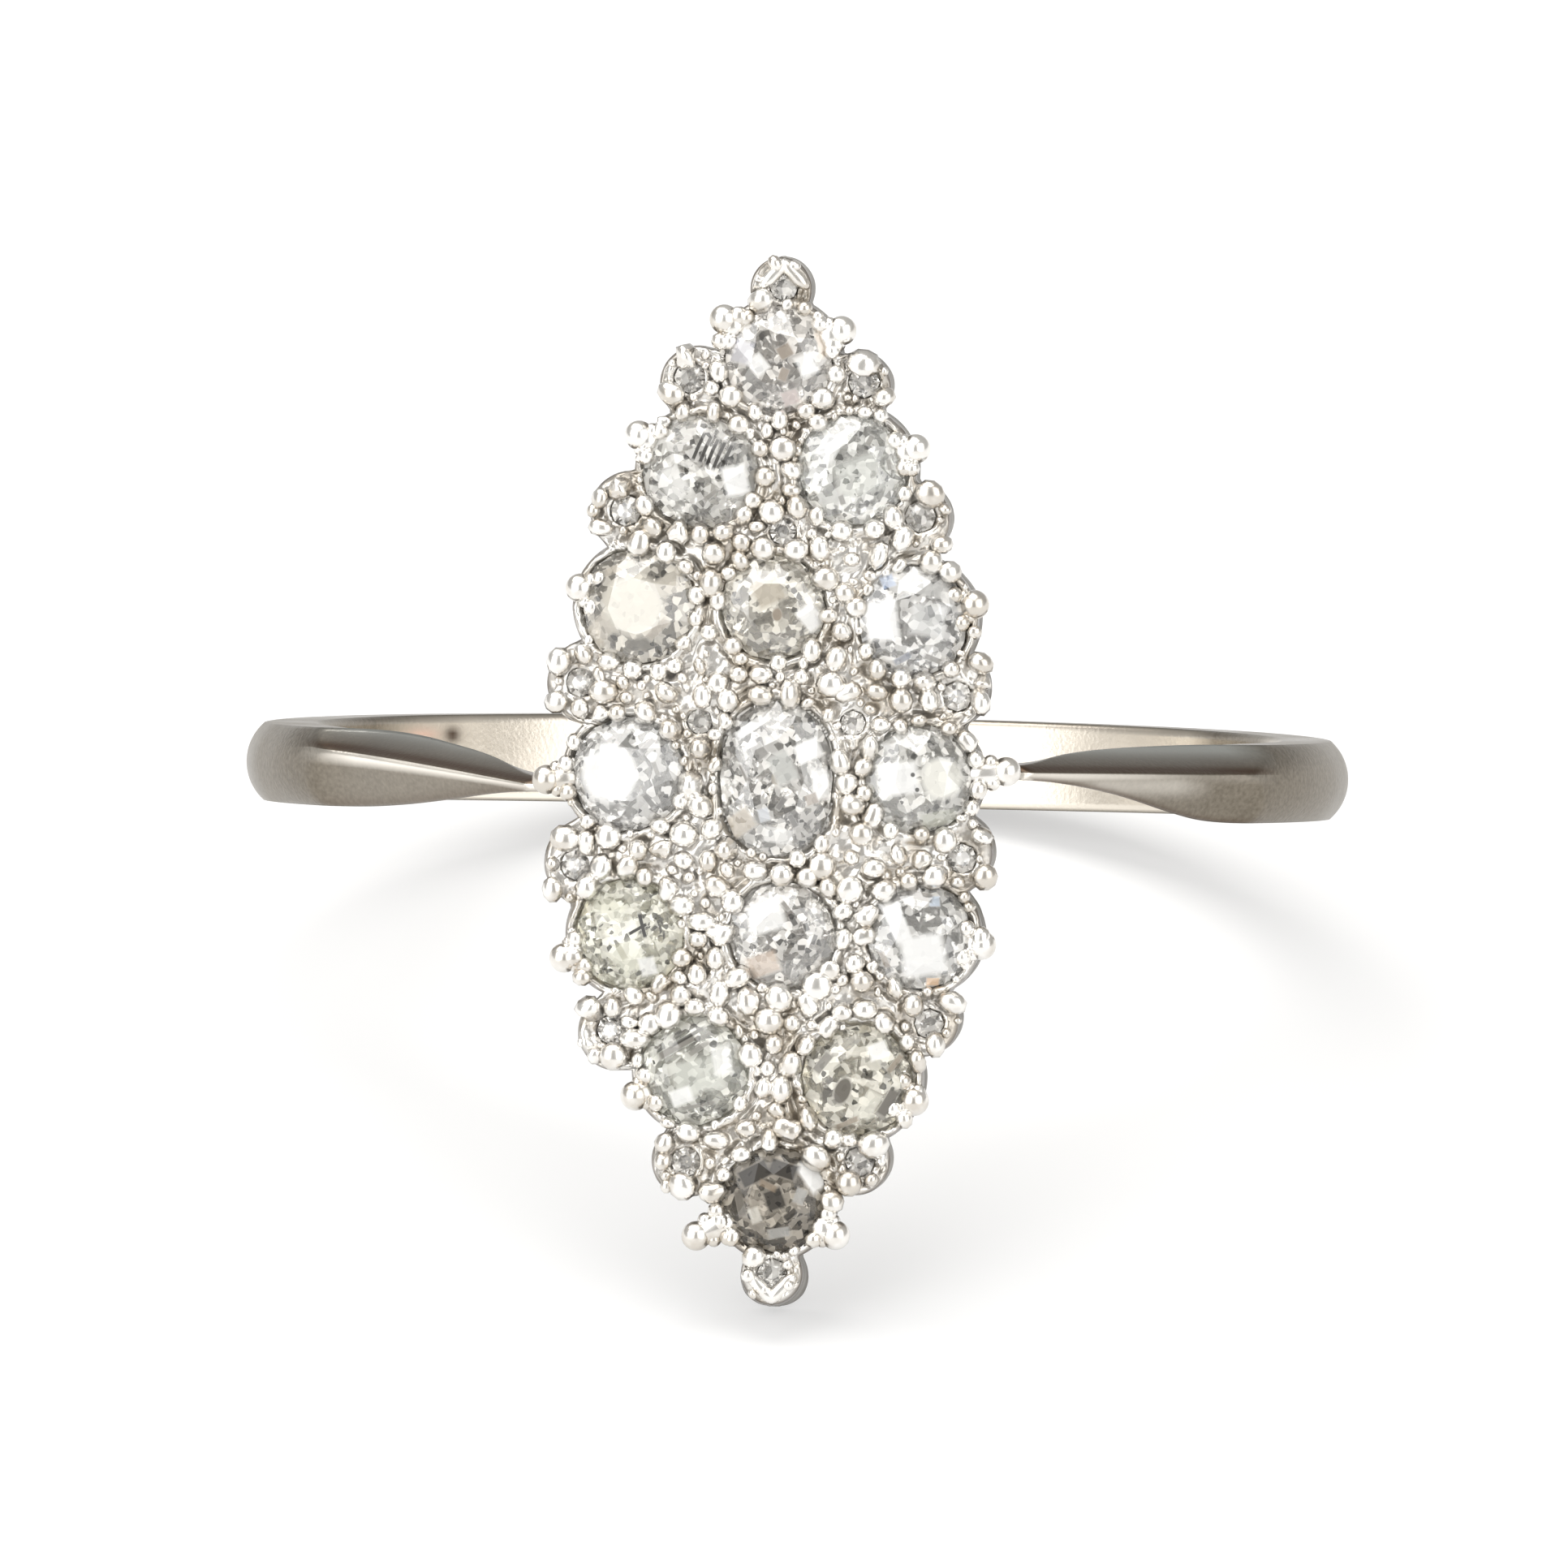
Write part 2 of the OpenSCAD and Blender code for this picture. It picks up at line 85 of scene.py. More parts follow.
camera_data = bpy.data.cameras.new("camera")
camera_data.sensor_width = 36.0
camera_data.lens = camera_data.sensor_width * VIEW_DISTANCE / VIEW_WIDTH
camera_data.clip_start = 0.01
camera_data.clip_end = 20.0
camera = bpy.data.objects.new("camera", camera_data)
pose = np.eye(4)
pose[:3, :3] = np.stack([right_axis, up_axis, back_axis], axis=1)
pose[:3, 3] = laid(VIEW_MIDDLE + VIEW_DISTANCE * sight)
camera.matrix_world = Matrix(pose)
bpy.context.scene.collection.objects.link(camera)
bpy.context.scene.camera = camera
bpy.context.scene.view_settings.view_transform = "Standard"


# Floor and light
# A white sheet of card under the ring, lit through from below so that shadows on it stay faint,
# two wide soft lights at the left and right of the camera with a dark slot between them, and a
# softer one overhead.
FLOOR_HALF = 3.0
CARD_WHITE = 0.42
CARD_GLOW = 0.50
ROOM_COLOUR = (0.62, 0.61, 0.59)
ROOM_STRENGTH = 0.8
# The place in the head that the lights face, in millimetres of the upright ring
LIT_PLACE = (0, 0, 8)

floor_mesh = bpy.data.meshes.new("floor")
floor_mesh.from_pydata(
    [(x * FLOOR_HALF, y * FLOOR_HALF, 0) for x, y in ((-1, -1), (1, -1), (1, 1), (-1, 1))],
    [], [(0, 1, 2, 3)],
)
card = bpy.data.materials.new("card")
card.use_nodes = True
card_shader = card.node_tree.nodes["Principled BSDF"]
card_shader.inputs["Base Color"].default_value = (CARD_WHITE, CARD_WHITE, CARD_WHITE, 1)
card_shader.inputs["Emission Color"].default_value = (1, 1, 1, 1)
card_shader.inputs["Emission Strength"].default_value = CARD_GLOW
card_shader.inputs["Roughness"].default_value = 0.9
card_shader.inputs["Specular IOR Level"].default_value = 0.1
floor_mesh.materials.append(card)
floor = bpy.data.objects.new("floor", floor_mesh)
bpy.context.scene.collection.objects.link(floor)


def soft_light(name, place, size, power, colour=(1, 1, 1)):
    """A soft light that faces the head. Its place is in millimetres of the upright ring, its
    width and height in millimetres and its power in watts."""
    light = bpy.data.lights.new(name, "AREA")
    light.shape = "RECTANGLE"
    light.size = size[0] * MM
    light.size_y = size[1] * MM
    light.energy = power
    light.color = colour
    lamp = bpy.data.objects.new(name, light)
    here = laid(place)
    facing = here - laid(LIT_PLACE)
    facing /= np.linalg.norm(facing)
    side = np.cross(along, facing)
    side /= np.linalg.norm(side)
    turn = np.eye(4)
    turn[:3, :3] = np.stack([side, np.cross(facing, side), facing], axis=1)
    turn[:3, 3] = here
    lamp.matrix_world = Matrix(turn)
    bpy.context.scene.collection.objects.link(lamp)


soft_light("left_light", (-215, 60, 235), (290, 380), 0.75)
soft_light("right_light", (225, 60, 230), (290, 380), 0.55)
soft_light("top_light", (-70, 310, 90), (420, 220), 1.0, (1.0, 0.985, 0.96))

world = bpy.data.worlds.new("room")
world.use_nodes = True
room = world.node_tree.nodes["Background"]
room.inputs["Color"].default_value = (*ROOM_COLOUR, 1)
room.inputs["Strength"].default_value = ROOM_STRENGTH
bpy.context.scene.world = world


# Band
# A rounded platinum hoop, flat inside, worn to a soft satin. Each shoulder is filed to a ridge
# that runs from the band to a point at the head, with a narrow steep slope above it and a broad
# one below.
FINGER_RADIUS = 8.6
BAND_RADIUS = 9.85
CROWN_RADIUS = 0.92
BACK_HALF = 0.82
SIDE_HALF = 0.69
TIP_ACROSS = 4.4
TIP_HEIGHT = 9.3
RIDGE_ACROSS = 8.5
RIDGE_HEIGHT = 5.0
UPPER_SLOPE = math.radians(58)
LOWER_SLOPE = math.radians(30)
# The band is turned a little against the head
BAND_TURN = math.radians(0.5)
# Where the tip and the start of the ridge lie along the finger: left, right
TIP_ALONG = np.array([-0.15, 0.21])
RIDGE_ALONG = np.array([0.35, 0.17])
# The slopes fade out over this height on each side of the ridge's start, by rising this far
SLOPE_FADE = 1.2
SLOPE_RISE = 1.2
# How softly the slopes and the crown join: left, right
RIDGE_SOFT = (0.05, 0.03)
# The ridge keeps this far from the band's edges
RIDGE_ROOM = 0.1
# Where the band ends inside the head: across, and from the middle of the hoop
BAND_END = 3.3
END_RADIUS = 9.2
EDGE_ROUND = 0.05
INSIDE_ROUND = 0.07
# Edges of a shoulder seen from above: distance across, left lower and upper, right lower and
# upper. They are smoothed over EDGE_BLEND on each side.
EDGE_BLEND = 0.35
SHOULDER_EDGES = np.array([
    [3.0, -0.28, -0.02, 0.08, 0.34],
    [4.5, -0.28, -0.02, 0.08, 0.34],
    [5.1, -0.33, 0.19, 0.02, 0.50],
    [5.8, -0.43, 0.36, -0.09, 0.58],
    [6.5, -0.53, 0.48, -0.25, 0.63],
    [7.2, -0.62, 0.61, -0.47, 0.66],
    [8.0, -0.69, 0.69, -0.69, 0.69],
    [9.9, -0.69, 0.69, -0.69, 0.69],
])


def new_material(name):
    """A new material: itself, its nodes, its shader and places on the object in metres."""
    material = bpy.data.materials.new(name)
    material.use_nodes = True
    tree = material.node_tree
    place = tree.nodes.new("ShaderNodeTexCoord").outputs["Object"]
    return material, tree, tree.nodes["Principled BSDF"], place


def noise_node(tree, place, scale, detail):
    """A noise pattern of a material. Its scale is in waves to the metre."""
    noise = tree.nodes.new("ShaderNodeTexNoise")
    noise.inputs["Scale"].default_value = scale
    noise.inputs["Detail"].default_value = detail
    tree.links.new(place, noise.inputs["Vector"])
    return noise.outputs["Fac"]


def ramp_node(tree, value, stops, blend="LINEAR"):
    """A colour ramp of a material: stops are a position and a colour each."""
    ramp = tree.nodes.new("ShaderNodeValToRGB")
    ramp.color_ramp.interpolation = blend
    while len(ramp.color_ramp.elements) < len(stops):
        ramp.color_ramp.elements.new(0.5)
    for element, (position, colour) in zip(ramp.color_ramp.elements, stops):
        element.position = position
        element.color = (*colour, 1)
    tree.links.new(value, ramp.inputs["Fac"])
    return ramp.outputs["Color"]


def range_node(tree, value, low, high, start=0.0, end=1.0):
    """A value of a material carried from one range to another."""
    ranged = tree.nodes.new("ShaderNodeMapRange")
    ranged.inputs["From Min"].default_value = start
    ranged.inputs["From Max"].default_value = end
    ranged.inputs["To Min"].default_value = low
    ranged.inputs["To Max"].default_value = high
    tree.links.new(value, ranged.inputs["Value"])
    return ranged.outputs["Result"]


def bump_node(tree, height, distance, strength):
    """A small relief of a material. Distance is in metres."""
    bump = tree.nodes.new("ShaderNodeBump")
    bump.inputs["Distance"].default_value = distance
    bump.inputs["Strength"].default_value = strength
    tree.links.new(height, bump.inputs["Height"])
    return bump.outputs["Normal"]


def sum_node(tree, one, other):
    """The sum of two values of a material."""
    total = tree.nodes.new("ShaderNodeMath")
    tree.links.new(one, total.inputs[0])
    tree.links.new(other, total.inputs[1])
    return total.outputs["Value"]


def attribute_node(tree, attribute):
    """A value that the mesh carries for each of its points."""
    layer = tree.nodes.new("ShaderNodeAttribute")
    layer.attribute_name = attribute
    return layer.outputs["Fac"]


def mix_node(tree, share, colour, other):
    """A colour of a material, turned into another one by a share from 0 to 1."""
    mixed = tree.nodes.new("ShaderNodeMix")
    mixed.data_type = "RGBA"
    tree.links.new(share, mixed.inputs["Factor"])
    tree.links.new(colour, mixed.inputs["A"])
    mixed.inputs["B"].default_value = (*other, 1)
    return mixed.outputs["Result"]


# What each attribute of the band's mesh turns its metal into: a painted sheen, painted highlights, a
# pinkish patch, and a stain together with painted shade
BAND_MARKS = {
    "painted_slope_sheen": (0.56, 0.58, 0.56), "painted_ridge_highlight": (1.0, 0.95, 0.87), "inside": (1.0, 0.93, 0.82),
    "blush": (0.93, 0.66, 0.55), "stain_and_shade": (0.10, 0.065, 0.045),
}


def satin_platinum():
    """Worn platinum: a speckled and slightly blotched tone, with duller and brighter places.
    The mesh's own attributes paint a sheen high on the upper slopes, highlights below the ridges
    and inside the hoop, a pinkish patch, and a stain together with painted shade."""
    material, tree, shader, place = new_material("satin_platinum")
    shader.inputs["Metallic"].default_value = 1.0
    blotch = noise_node(tree, place, 420.0, 4.0)
    speckle = noise_node(tree, place, 13000.0, 1.0)
    mottled = sum_node(tree, blotch, range_node(tree, speckle, -0.3, 0.3, 0.25, 0.75))
    tone = ramp_node(tree, mottled, [(0.2, (0.156, 0.135, 0.105)), (0.8, (0.229, 0.201, 0.160))])
    for attribute, colour in BAND_MARKS.items():
        tone = mix_node(tree, attribute_node(tree, attribute), tone, colour)
    tree.links.new(tone, shader.inputs["Base Color"])
    tree.links.new(range_node(tree, blotch, 0.24, 0.40, 0.3, 0.7), shader.inputs["Roughness"])
    tree.links.new(bump_node(tree, speckle, 0.000008, 0.6), shader.inputs["Normal"])
    return material


def rise_radius(turn):
    """Outer radius of the unfiled blank at an angle from the back of the hoop. It is the hoop's,
    and beside the head an arc that leaves the hoop smoothly and rises to the shoulder's tip."""
    start = np.array([RIDGE_ACROSS, math.sqrt(BAND_RADIUS**2 - RIDGE_ACROSS**2)])
    step = np.array([start[0] - TIP_ACROSS, TIP_HEIGHT - start[1]])
    out = start / BAND_RADIUS
    arc = (step @ step) / (2 * (step[0] * out[0] - step[1] * out[1]))
    middle = start - arc * out
    ray = np.stack([np.abs(np.sin(turn)), -np.cos(turn)], axis=-1)
    near = ray @ middle
    reach = near + np.sqrt(arc**2 - middle @ middle + near**2)
    started = -np.cos(turn) * BAND_RADIUS > start[1]
    radius = np.where(started, reach, BAND_RADIUS)
    level = TIP_HEIGHT / np.maximum(-np.cos(turn), 0.01)
    return np.where(started, np.minimum(radius, level), radius)


def edge_along(x, z, upper):
    """Where an edge of the band lies along the finger: the shoulders' table over the middle of
    the hoop, smoothed at its rows, and a little further out towards the back."""
    size = np.abs(x)[..., None] + np.linspace(-EDGE_BLEND, EDGE_BLEND, 9)
    left, right = (
        np.interp(size, SHOULDER_EDGES[:, 0], SHOULDER_EDGES[:, column]).mean(-1)
        for column in ((2, 4) if upper else (1, 3))
    )
    back = SIDE_HALF + (BACK_HALF - SIDE_HALF) * np.clip(-z / BAND_RADIUS, 0, 1)
    back = back if upper else -back
    return np.where(z > 0, np.where(x < 0, left, right), back)


def slope_reach(turn, y, side, upper):
    """How far from the hoop's middle a ray meets one slope beside a shoulder's ridge. The slope
    is a plane through the ridge: its normal is the ridge's upward direction turned sideways."""
    tip = np.array([TIP_ACROSS, TIP_ALONG[side], TIP_HEIGHT])
    start = np.array([RIDGE_ACROSS, RIDGE_ALONG[side], RIDGE_HEIGHT])
    ridge = (start - tip) / np.linalg.norm(start - tip)
    level = np.cross(np.array([0, 0, 1.0]), ridge)
    level /= np.linalg.norm(level)
    rise = np.cross(ridge, level)
    slope = UPPER_SLOPE if upper else -LOWER_SLOPE
    normal = math.sin(slope) * level + math.cos(slope) * rise
    ray = np.stack([np.abs(np.sin(turn)), 0 * turn, -np.cos(turn)], axis=-1)
    return (normal @ tip - normal[1] * y) / np.maximum(ray @ normal, 0.05)


def filed_radius(turn, y, blank):
    """Outer radius at an angle and a place along the finger: the lowest of the rounded crown and
    the slopes beside the ridge, joined softly. The slopes fade out below the ridge's start."""
    far = 99
    crown = blank - CROWN_RADIUS + np.sqrt(CROWN_RADIUS**2 - y**2)
    height = -np.cos(turn) * BAND_RADIUS
    faded = np.clip((RIDGE_HEIGHT + SLOPE_FADE - height) / (2 * SLOPE_FADE), 0, 1)
    surfaces = [crown]
    for upper in (False, True):
        reach = np.where(
            turn < 0, slope_reach(turn, y, 0, upper), slope_reach(turn, y, 1, upper)
        )
        surfaces.append(np.where(height > 0, reach, far) + SLOPE_RISE * faded**2)
    stack = np.minimum(np.stack(surfaces), far)
    soft = np.where(turn < 0, *RIDGE_SOFT)
    lowest = stack.min(0)
    return lowest - soft * np.log(np.exp(-(stack - lowest) / soft).sum(0)) + soft * 0.3


def bell(value, middle, width):
    """A hump over a middle: e to the power of minus the square of the distance in widths."""
    return np.exp(-(((value - middle) / width) ** 2))


def new_piece(name, points, faces, material):
    """A mesh piece of the ring from points in millimetres of the upright ring."""
    mesh = bpy.data.meshes.new(name)
    mesh.from_pydata(laid(points), [], [list(face) for face in faces])
    mesh.polygons.foreach_set("use_smooth", np.full(len(mesh.polygons), True))
    mesh.materials.append(material)
    piece = bpy.data.objects.new(name, mesh)
    bpy.context.scene.collection.objects.link(piece)
    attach(piece, "root")
    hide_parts("ring_metal")
    return piece


def paint(piece, attribute, values):
    """Gives each point of a piece's mesh its value of an attribute."""
    layer = piece.data.attributes.new(attribute, "FLOAT", "POINT")
    layer.data.foreach_set("value", np.asarray(values, np.float32).ravel())


def grid_faces(rows, columns, closed=True, first=0):
    """Quads between the points of a grid that is stored row by row. Where it is closed, the last
    column joins the first."""
    row, column = np.meshgrid(
        np.arange(rows - 1), np.arange(columns if closed else columns - 1), indexing="ij"
    )
    after = (column + 1) % columns
    corners = [
        row * columns + column, row * columns + after,
        (row + 1) * columns + after, (row + 1) * columns + column,
    ]
    return first + np.stack(corners, axis=-1).reshape(-1, 4)


BAND_ROWS = 640
end_turn = math.pi - math.asin(BAND_END / END_RADIUS)
turn = np.linspace(-end_turn, end_turn, BAND_ROWS)[:, None]
blank = rise_radius(turn)
outer_x = blank * np.sin(turn)
outer_z = -blank * np.cos(turn)
inner_x = FINGER_RADIUS * np.sin(turn)
low_outer = edge_along(outer_x, outer_z, False)
high_outer = edge_along(outer_x, outer_z, True)
low_inner = edge_along(inner_x, outer_z, False)
high_inner = edge_along(inner_x, outer_z, True)
side_index = (turn > 0).astype(int)
ridge_share = (np.abs(outer_x) - TIP_ACROSS) / (RIDGE_ACROSS - TIP_ACROSS)
ridge_y = TIP_ALONG[side_index] + (RIDGE_ALONG - TIP_ALONG)[side_index] * np.clip(ridge_share, 0, 1)
ridge_y = ridge_y * np.clip((outer_z + 2) / (RIDGE_HEIGHT + 2), 0, 1)
slim = np.minimum(1, (high_outer - low_outer) / (2 * SIDE_HALF))
ridge_y = np.clip(ridge_y, low_outer + RIDGE_ROOM * slim, high_outer - RIDGE_ROOM * slim)

# Outer surface across the band, with one line of points on the ridge
share = np.linspace(-1, 1, 53)[None]
share = np.sign(share) * np.abs(share) ** 1.15
outer_y = ridge_y + np.where(
    share < 0, share * (ridge_y - low_outer - EDGE_ROUND * slim),
    share * (high_outer - ridge_y - EDGE_ROUND * slim),
)
outer_r = filed_radius(np.broadcast_to(turn, outer_y.shape), outer_y, blank)
# Down one side, across the flat inside, and up the other side
down = np.linspace(0, 1, 7)[None]
low_edge = FINGER_RADIUS + INSIDE_ROUND


def side_wall(edge_r, outer_edge, inner_edge):
    """One side of the band from its outer edge to its inner edge."""
    top_r = edge_r - EDGE_ROUND
    return top_r + (low_edge - top_r) * down, outer_edge + (inner_edge - outer_edge) * down


right_r, right_y = side_wall(outer_r[:, -1:], high_outer, high_inner)
left_r, left_y = side_wall(outer_r[:, :1], low_outer, low_inner)
inside_share = np.linspace(1, 0, 17)[None]
inside_trim = INSIDE_ROUND * slim
inside_y = low_inner + inside_trim + inside_share * (high_inner - low_inner - 2 * inside_trim)
inside_r = np.full_like(inside_y, FINGER_RADIUS)
band_r = np.concatenate([outer_r, right_r, inside_r, left_r[:, ::-1]], axis=1)
band_y = np.concatenate([outer_y, right_y, inside_y, left_y[:, ::-1]], axis=1)
band_points = np.stack([band_r * np.sin(turn), band_y, -band_r * np.cos(turn)], axis=-1)
columns = band_points.shape[1]
band_faces = [*grid_faces(BAND_ROWS, columns)]
band_faces.append(np.arange(columns)[::-1])
band_faces.append(np.arange(columns) + (BAND_ROWS - 1) * columns)
turned_back = np.array([
    [math.cos(BAND_TURN), -math.sin(BAND_TURN), 0],
    [math.sin(BAND_TURN), math.cos(BAND_TURN), 0],
    [0, 0, 1],
])
band = new_piece("band", band_points.reshape(-1, 3) @ turned_back, band_faces, satin_platinum())

# What is painted on the metal, in shares from 0 to 1 for each point of the band. A brown stain
# inside the band at the left with a pinkish patch beside it, and painted shade along the upper
# edge of the hoop's inside
mark_x = band_points[..., 0]
mark_y = band_points[..., 1]
is_inside = np.abs(band_r - FINGER_RADIUS) < 0.03
is_back = is_inside * (band_points[..., 2] < 0)
spot = bell(mark_x, -6.5, 0.14) * bell(mark_y, 0.41, 0.15)
blush = bell(mark_x, -7.0, 0.28) * bell(mark_y, 0.42, 0.11) * is_back
edge_line = 0.55 * np.clip((mark_y - 0.66) / 0.08, 0, 1)
# A creamy painted highlight on the inside of the hoop: bright behind the head, fading to painted
# shade towards the sides of the hoop
inside_highlight = np.interp(
    mark_x, [-7.8, -7.0, -6.35, -6.0, 4.0, 6.9, 7.4, 8.2, 8.6],
    [0.05, 0.55, 0.9, 1.0, 0.85, 0.68, 0.1, 0.05, 0.5],
)
# Along each ridge: painted shade just above it, a painted highlight on the slope below it, and a
# painted sheen higher up the upper slope
above = (band_y - ridge_y) / 0.16
by_ridge = np.clip((outer_z - 4.6) / 0.8, 0, 1) * ~is_inside
# Painted shade: a dark band just above the ridge
streak = (0.8 * bell(above, 0.4, 0.4) + 0.4 * bell(above, 1.3, 1)) * (above > 0) * by_ridge
# Painted highlight: a bright strip on the slope just below the ridge, wider at the left
strip_width = np.interp(mark_x, [-8.0, -5.0, 4.6], [0.30, 0.15, 0.20])
strip = np.clip(1.5 * (1 + (band_y - ridge_y) / strip_width), 0.1, 1) * (above < 0.02) * by_ridge
strip = strip * np.interp(mark_x, [-8.3, -7.6, -4.6, 4.6, 6.2, 7.4], [0.35, 1, 0.9, 0.7, 0.45, 0.1])
patch = 0.35 * bell(above, -1.3, 1.2) * (above < 0.02) * by_ridge
strip = np.maximum(strip, patch * np.interp(mark_x, [4.8, 5.6, 6.9, 7.6], [0, 1, 1, 0]))
# Painted sheen: the upper slope is painted lighter further up from the ridge
painted_slope_sheen = np.clip((above - 0.5) / 2.0, 0, 1) * by_ridge * np.where(mark_x < 0, 1.0, 0.9)
# A line of painted shade along the lower edge of each shoulder
foot_width = np.where(mark_x < 0, 0.16, 0.07)
foot_line = np.where(mark_x < 0, 0.35, 0.7) * bell(band_y, low_outer, foot_width)
foot_line = foot_line * by_ridge * (np.abs(mark_x) > TIP_ACROSS)
# The stain layer holds the brown spot, with painted shade at the inside's edge, above the ridges and
# along the shoulders' feet
marks = {
    "stain_and_shade": np.maximum(np.maximum(spot, edge_line) * is_back, np.maximum(streak, foot_line)),
    "blush": 0.8 * blush, "inside": is_inside * inside_highlight, "painted_ridge_highlight": strip, "painted_slope_sheen": painted_slope_sheen,
}
for attribute, values in marks.items():
    paint(band, attribute, values)


# Head
# A boat-shaped casting with a scalloped wall, hollow behind. Its domed plate is cut away to a cup
# for each stone, and the metal left between the cups is pushed up and cut bright with a graver.
PLATE_TOP = 10.2
DOME_RADIUS = 15.5
DOME_AXIS = PLATE_TOP - DOME_RADIUS
PLATE_THICKNESS = 0.75
WALL_FOOT = 8.75
WALL_FLARE = 0.02
TIP_FLARE = 0.12
EDGE_LIP = 0.08
HEAD_LENGTH = 17.4
HEAD_WIDTH = 6.6
HOLLOW_LENGTH = 16.4
HOLLOW_WIDTH = 6.4
TIP_REACH = 8.57
TIP_RADIUS = 0.55
STONE_WALL = 0.18
STONE_GAP = 0.03
GIRDLE_DEPTH = 0.06
PAVILION_SHARE = 0.40
# Half the length from which a stone is a main stone, and from which it has straight sides
MAIN_HALF = 0.5
LONG_HALF = 1.2
# How softly the rounds of the edge join, and the radius of the plate's rounded edge
CONTOUR_SOFT = 0.035
PLATE_ROUND = 0.09
# The hole behind a main stone, in shares of the stone's radius: its rim at the plate's back, and
# how far out the mesh is left open at the cup's foot and at the back
HOLE_RIM = 0.45
CUP_OPEN = 0.40
BACK_OPEN = 0.47
# Lobes of the edge between two edge stones: across, along, radius
LOBES = np.array([
    [-1.46, 6.90, 0.58], [1.34, 6.88, 0.52], [-2.62, 4.66, 0.63], [2.36, 4.58, 0.56],
    [-3.32, 1.68, 0.66], [3.00, 1.62, 0.60], [-3.30, -1.46, 0.70], [3.06, -1.24, 0.64],
    [-2.78, -4.40, 0.60], [2.58, -4.12, 0.58], [-1.50, -6.62, 0.56], [1.44, -6.58, 0.54],
])


def dome_height(x):
    """Height of the plate's top at a distance across: an arch of the dome's radius."""
    return DOME_AXIS + np.sqrt(DOME_RADIUS**2 - np.asarray(x, float) ** 2)


def on_dome(x, y, lift):
    """Points over the plate at a height square to it, and the three directions there."""
    tilt = np.arcsin(np.asarray(x) / DOME_RADIUS)
    flat = np.zeros_like(tilt)
    normal = np.stack([np.sin(tilt), flat, np.cos(tilt)], axis=-1)
    side = np.stack([np.cos(tilt), flat, -np.sin(tilt)], axis=-1)
    ahead = np.stack([flat, flat + 1, flat], axis=-1)
    base = np.stack([x, y + flat, dome_height(x)], axis=-1) + normal * np.asarray(lift)[..., None]
    return base, np.stack([side, ahead, normal], axis=-2)


def arc_of(length, width):
    """Radius of a boat shape's two arcs, and how far their middles lie beyond its middle."""
    radius = (length**2 + width**2) / (4 * width)
    return radius, radius - width / 2


def stone_row(node):
    """Place and half sizes of a stone from its solid: across and along the plate, half its
    width and half its length."""
    points = np.zeros(3 * len(node.data.vertices))
    node.data.vertices.foreach_get("co", points)
    points = stood(points.reshape(-1, 3))
    middle = (points.min(0) + points.max(0)) / 2
    half = (points.max(0) - points.min(0)) / 2
    angle = math.atan2(middle[0], middle[2] - DOME_AXIS)
    return DOME_RADIUS * math.sin(angle), middle[1], half[0] / math.cos(angle) ** 0.5, half[1]


stone_nodes = {n: node for n, node in frame["nodes"].items() if n.startswith("stone")}
chip_nodes = {n: node for n, node in frame["nodes"].items() if n.startswith("chip")}
stones = np.array([stone_row(node) for node in stone_nodes.values()])
chips = np.array([stone_row(node) for node in chip_nodes.values()])
gems = np.concatenate([stones, chips])


def gem_round(gem):
    """Radius of a gem's outline, and half the straight stretch that a long gem has between the
    two half circles of its ends."""
    if gem[3] > LONG_HALF:
        return gem[2], gem[3] - gem[2]
    return gem[3], 0.0


def girdle_distance(x, y, gem):
    """Distance from a gem's girdle, below zero inside it."""
    radius, stretch = gem_round(gem)
    beyond = np.maximum(np.abs(y - gem[1]) - stretch, 0)
    return np.hypot(x - gem[0], beyond) - radius


def stone_share(x, y):
    """Distance from the middle of the nearest main stone, in shares of that stone's radius."""
    shares = []
    for gem in stones:
        radius, _ = gem_round(gem)
        shares.append((girdle_distance(x, y, gem) + radius) / radius)
    return np.min(shares, axis=0)


head_arc, head_arc_x = arc_of(HEAD_LENGTH, HEAD_WIDTH)
hollow_arc, hollow_arc_x = arc_of(HOLLOW_LENGTH, HOLLOW_WIDTH)
# The rounds of the edge: a wall round each edge stone, the lobes between them and the tips
edge_posts = np.array([
    [gem[0], gem[1], gem[3] + STONE_WALL] for gem in stones
    if math.hypot(gem[0] / 3, gem[1] / 9) > 0.6
])
tips = np.array([[0.0, TIP_REACH, TIP_RADIUS], [0.0, -TIP_REACH, TIP_RADIUS]])
edge_rounds = np.concatenate([edge_posts, LOBES + [0, 0, EDGE_LIP], tips])


def contour_reach(angle, side):
    """How far the head's edge lies from the middle of one side's arc: the farthest of the boat's
    arc and all the round lobes, joined softly by a logarithm of summed powers."""
    ray = np.stack([side * np.cos(angle), np.sin(angle)], axis=-1)
    reaches = [np.full_like(angle, head_arc)]
    for x, y, r in edge_rounds:
        off = np.array([x + side * head_arc_x, y])
        near = ray @ off
        inside = r**2 - off @ off + near**2
        reaches.append(np.where(inside > 0, near + np.sqrt(np.maximum(inside, 0)), 0))
    stack = np.stack(reaches)
    top = stack.max(0)
    summed = np.exp((stack - top) / CONTOUR_SOFT).sum(0)
    return top + CONTOUR_SOFT * np.log(summed) - CONTOUR_SOFT * 0.4


def line_reach(angle):
    """How far the head's middle line lies from the middle of one side's arc."""
    return head_arc_x / np.cos(angle)


def hollow_reach(angle):
    """How far the hollow's edge lies from the middle of one side's arc of the head. The
    hollow's own arc has its middle nearer the head's middle line."""
    off = head_arc_x - hollow_arc_x
    near = off * np.cos(angle)
    return near + np.sqrt(hollow_arc**2 - off**2 + near**2)


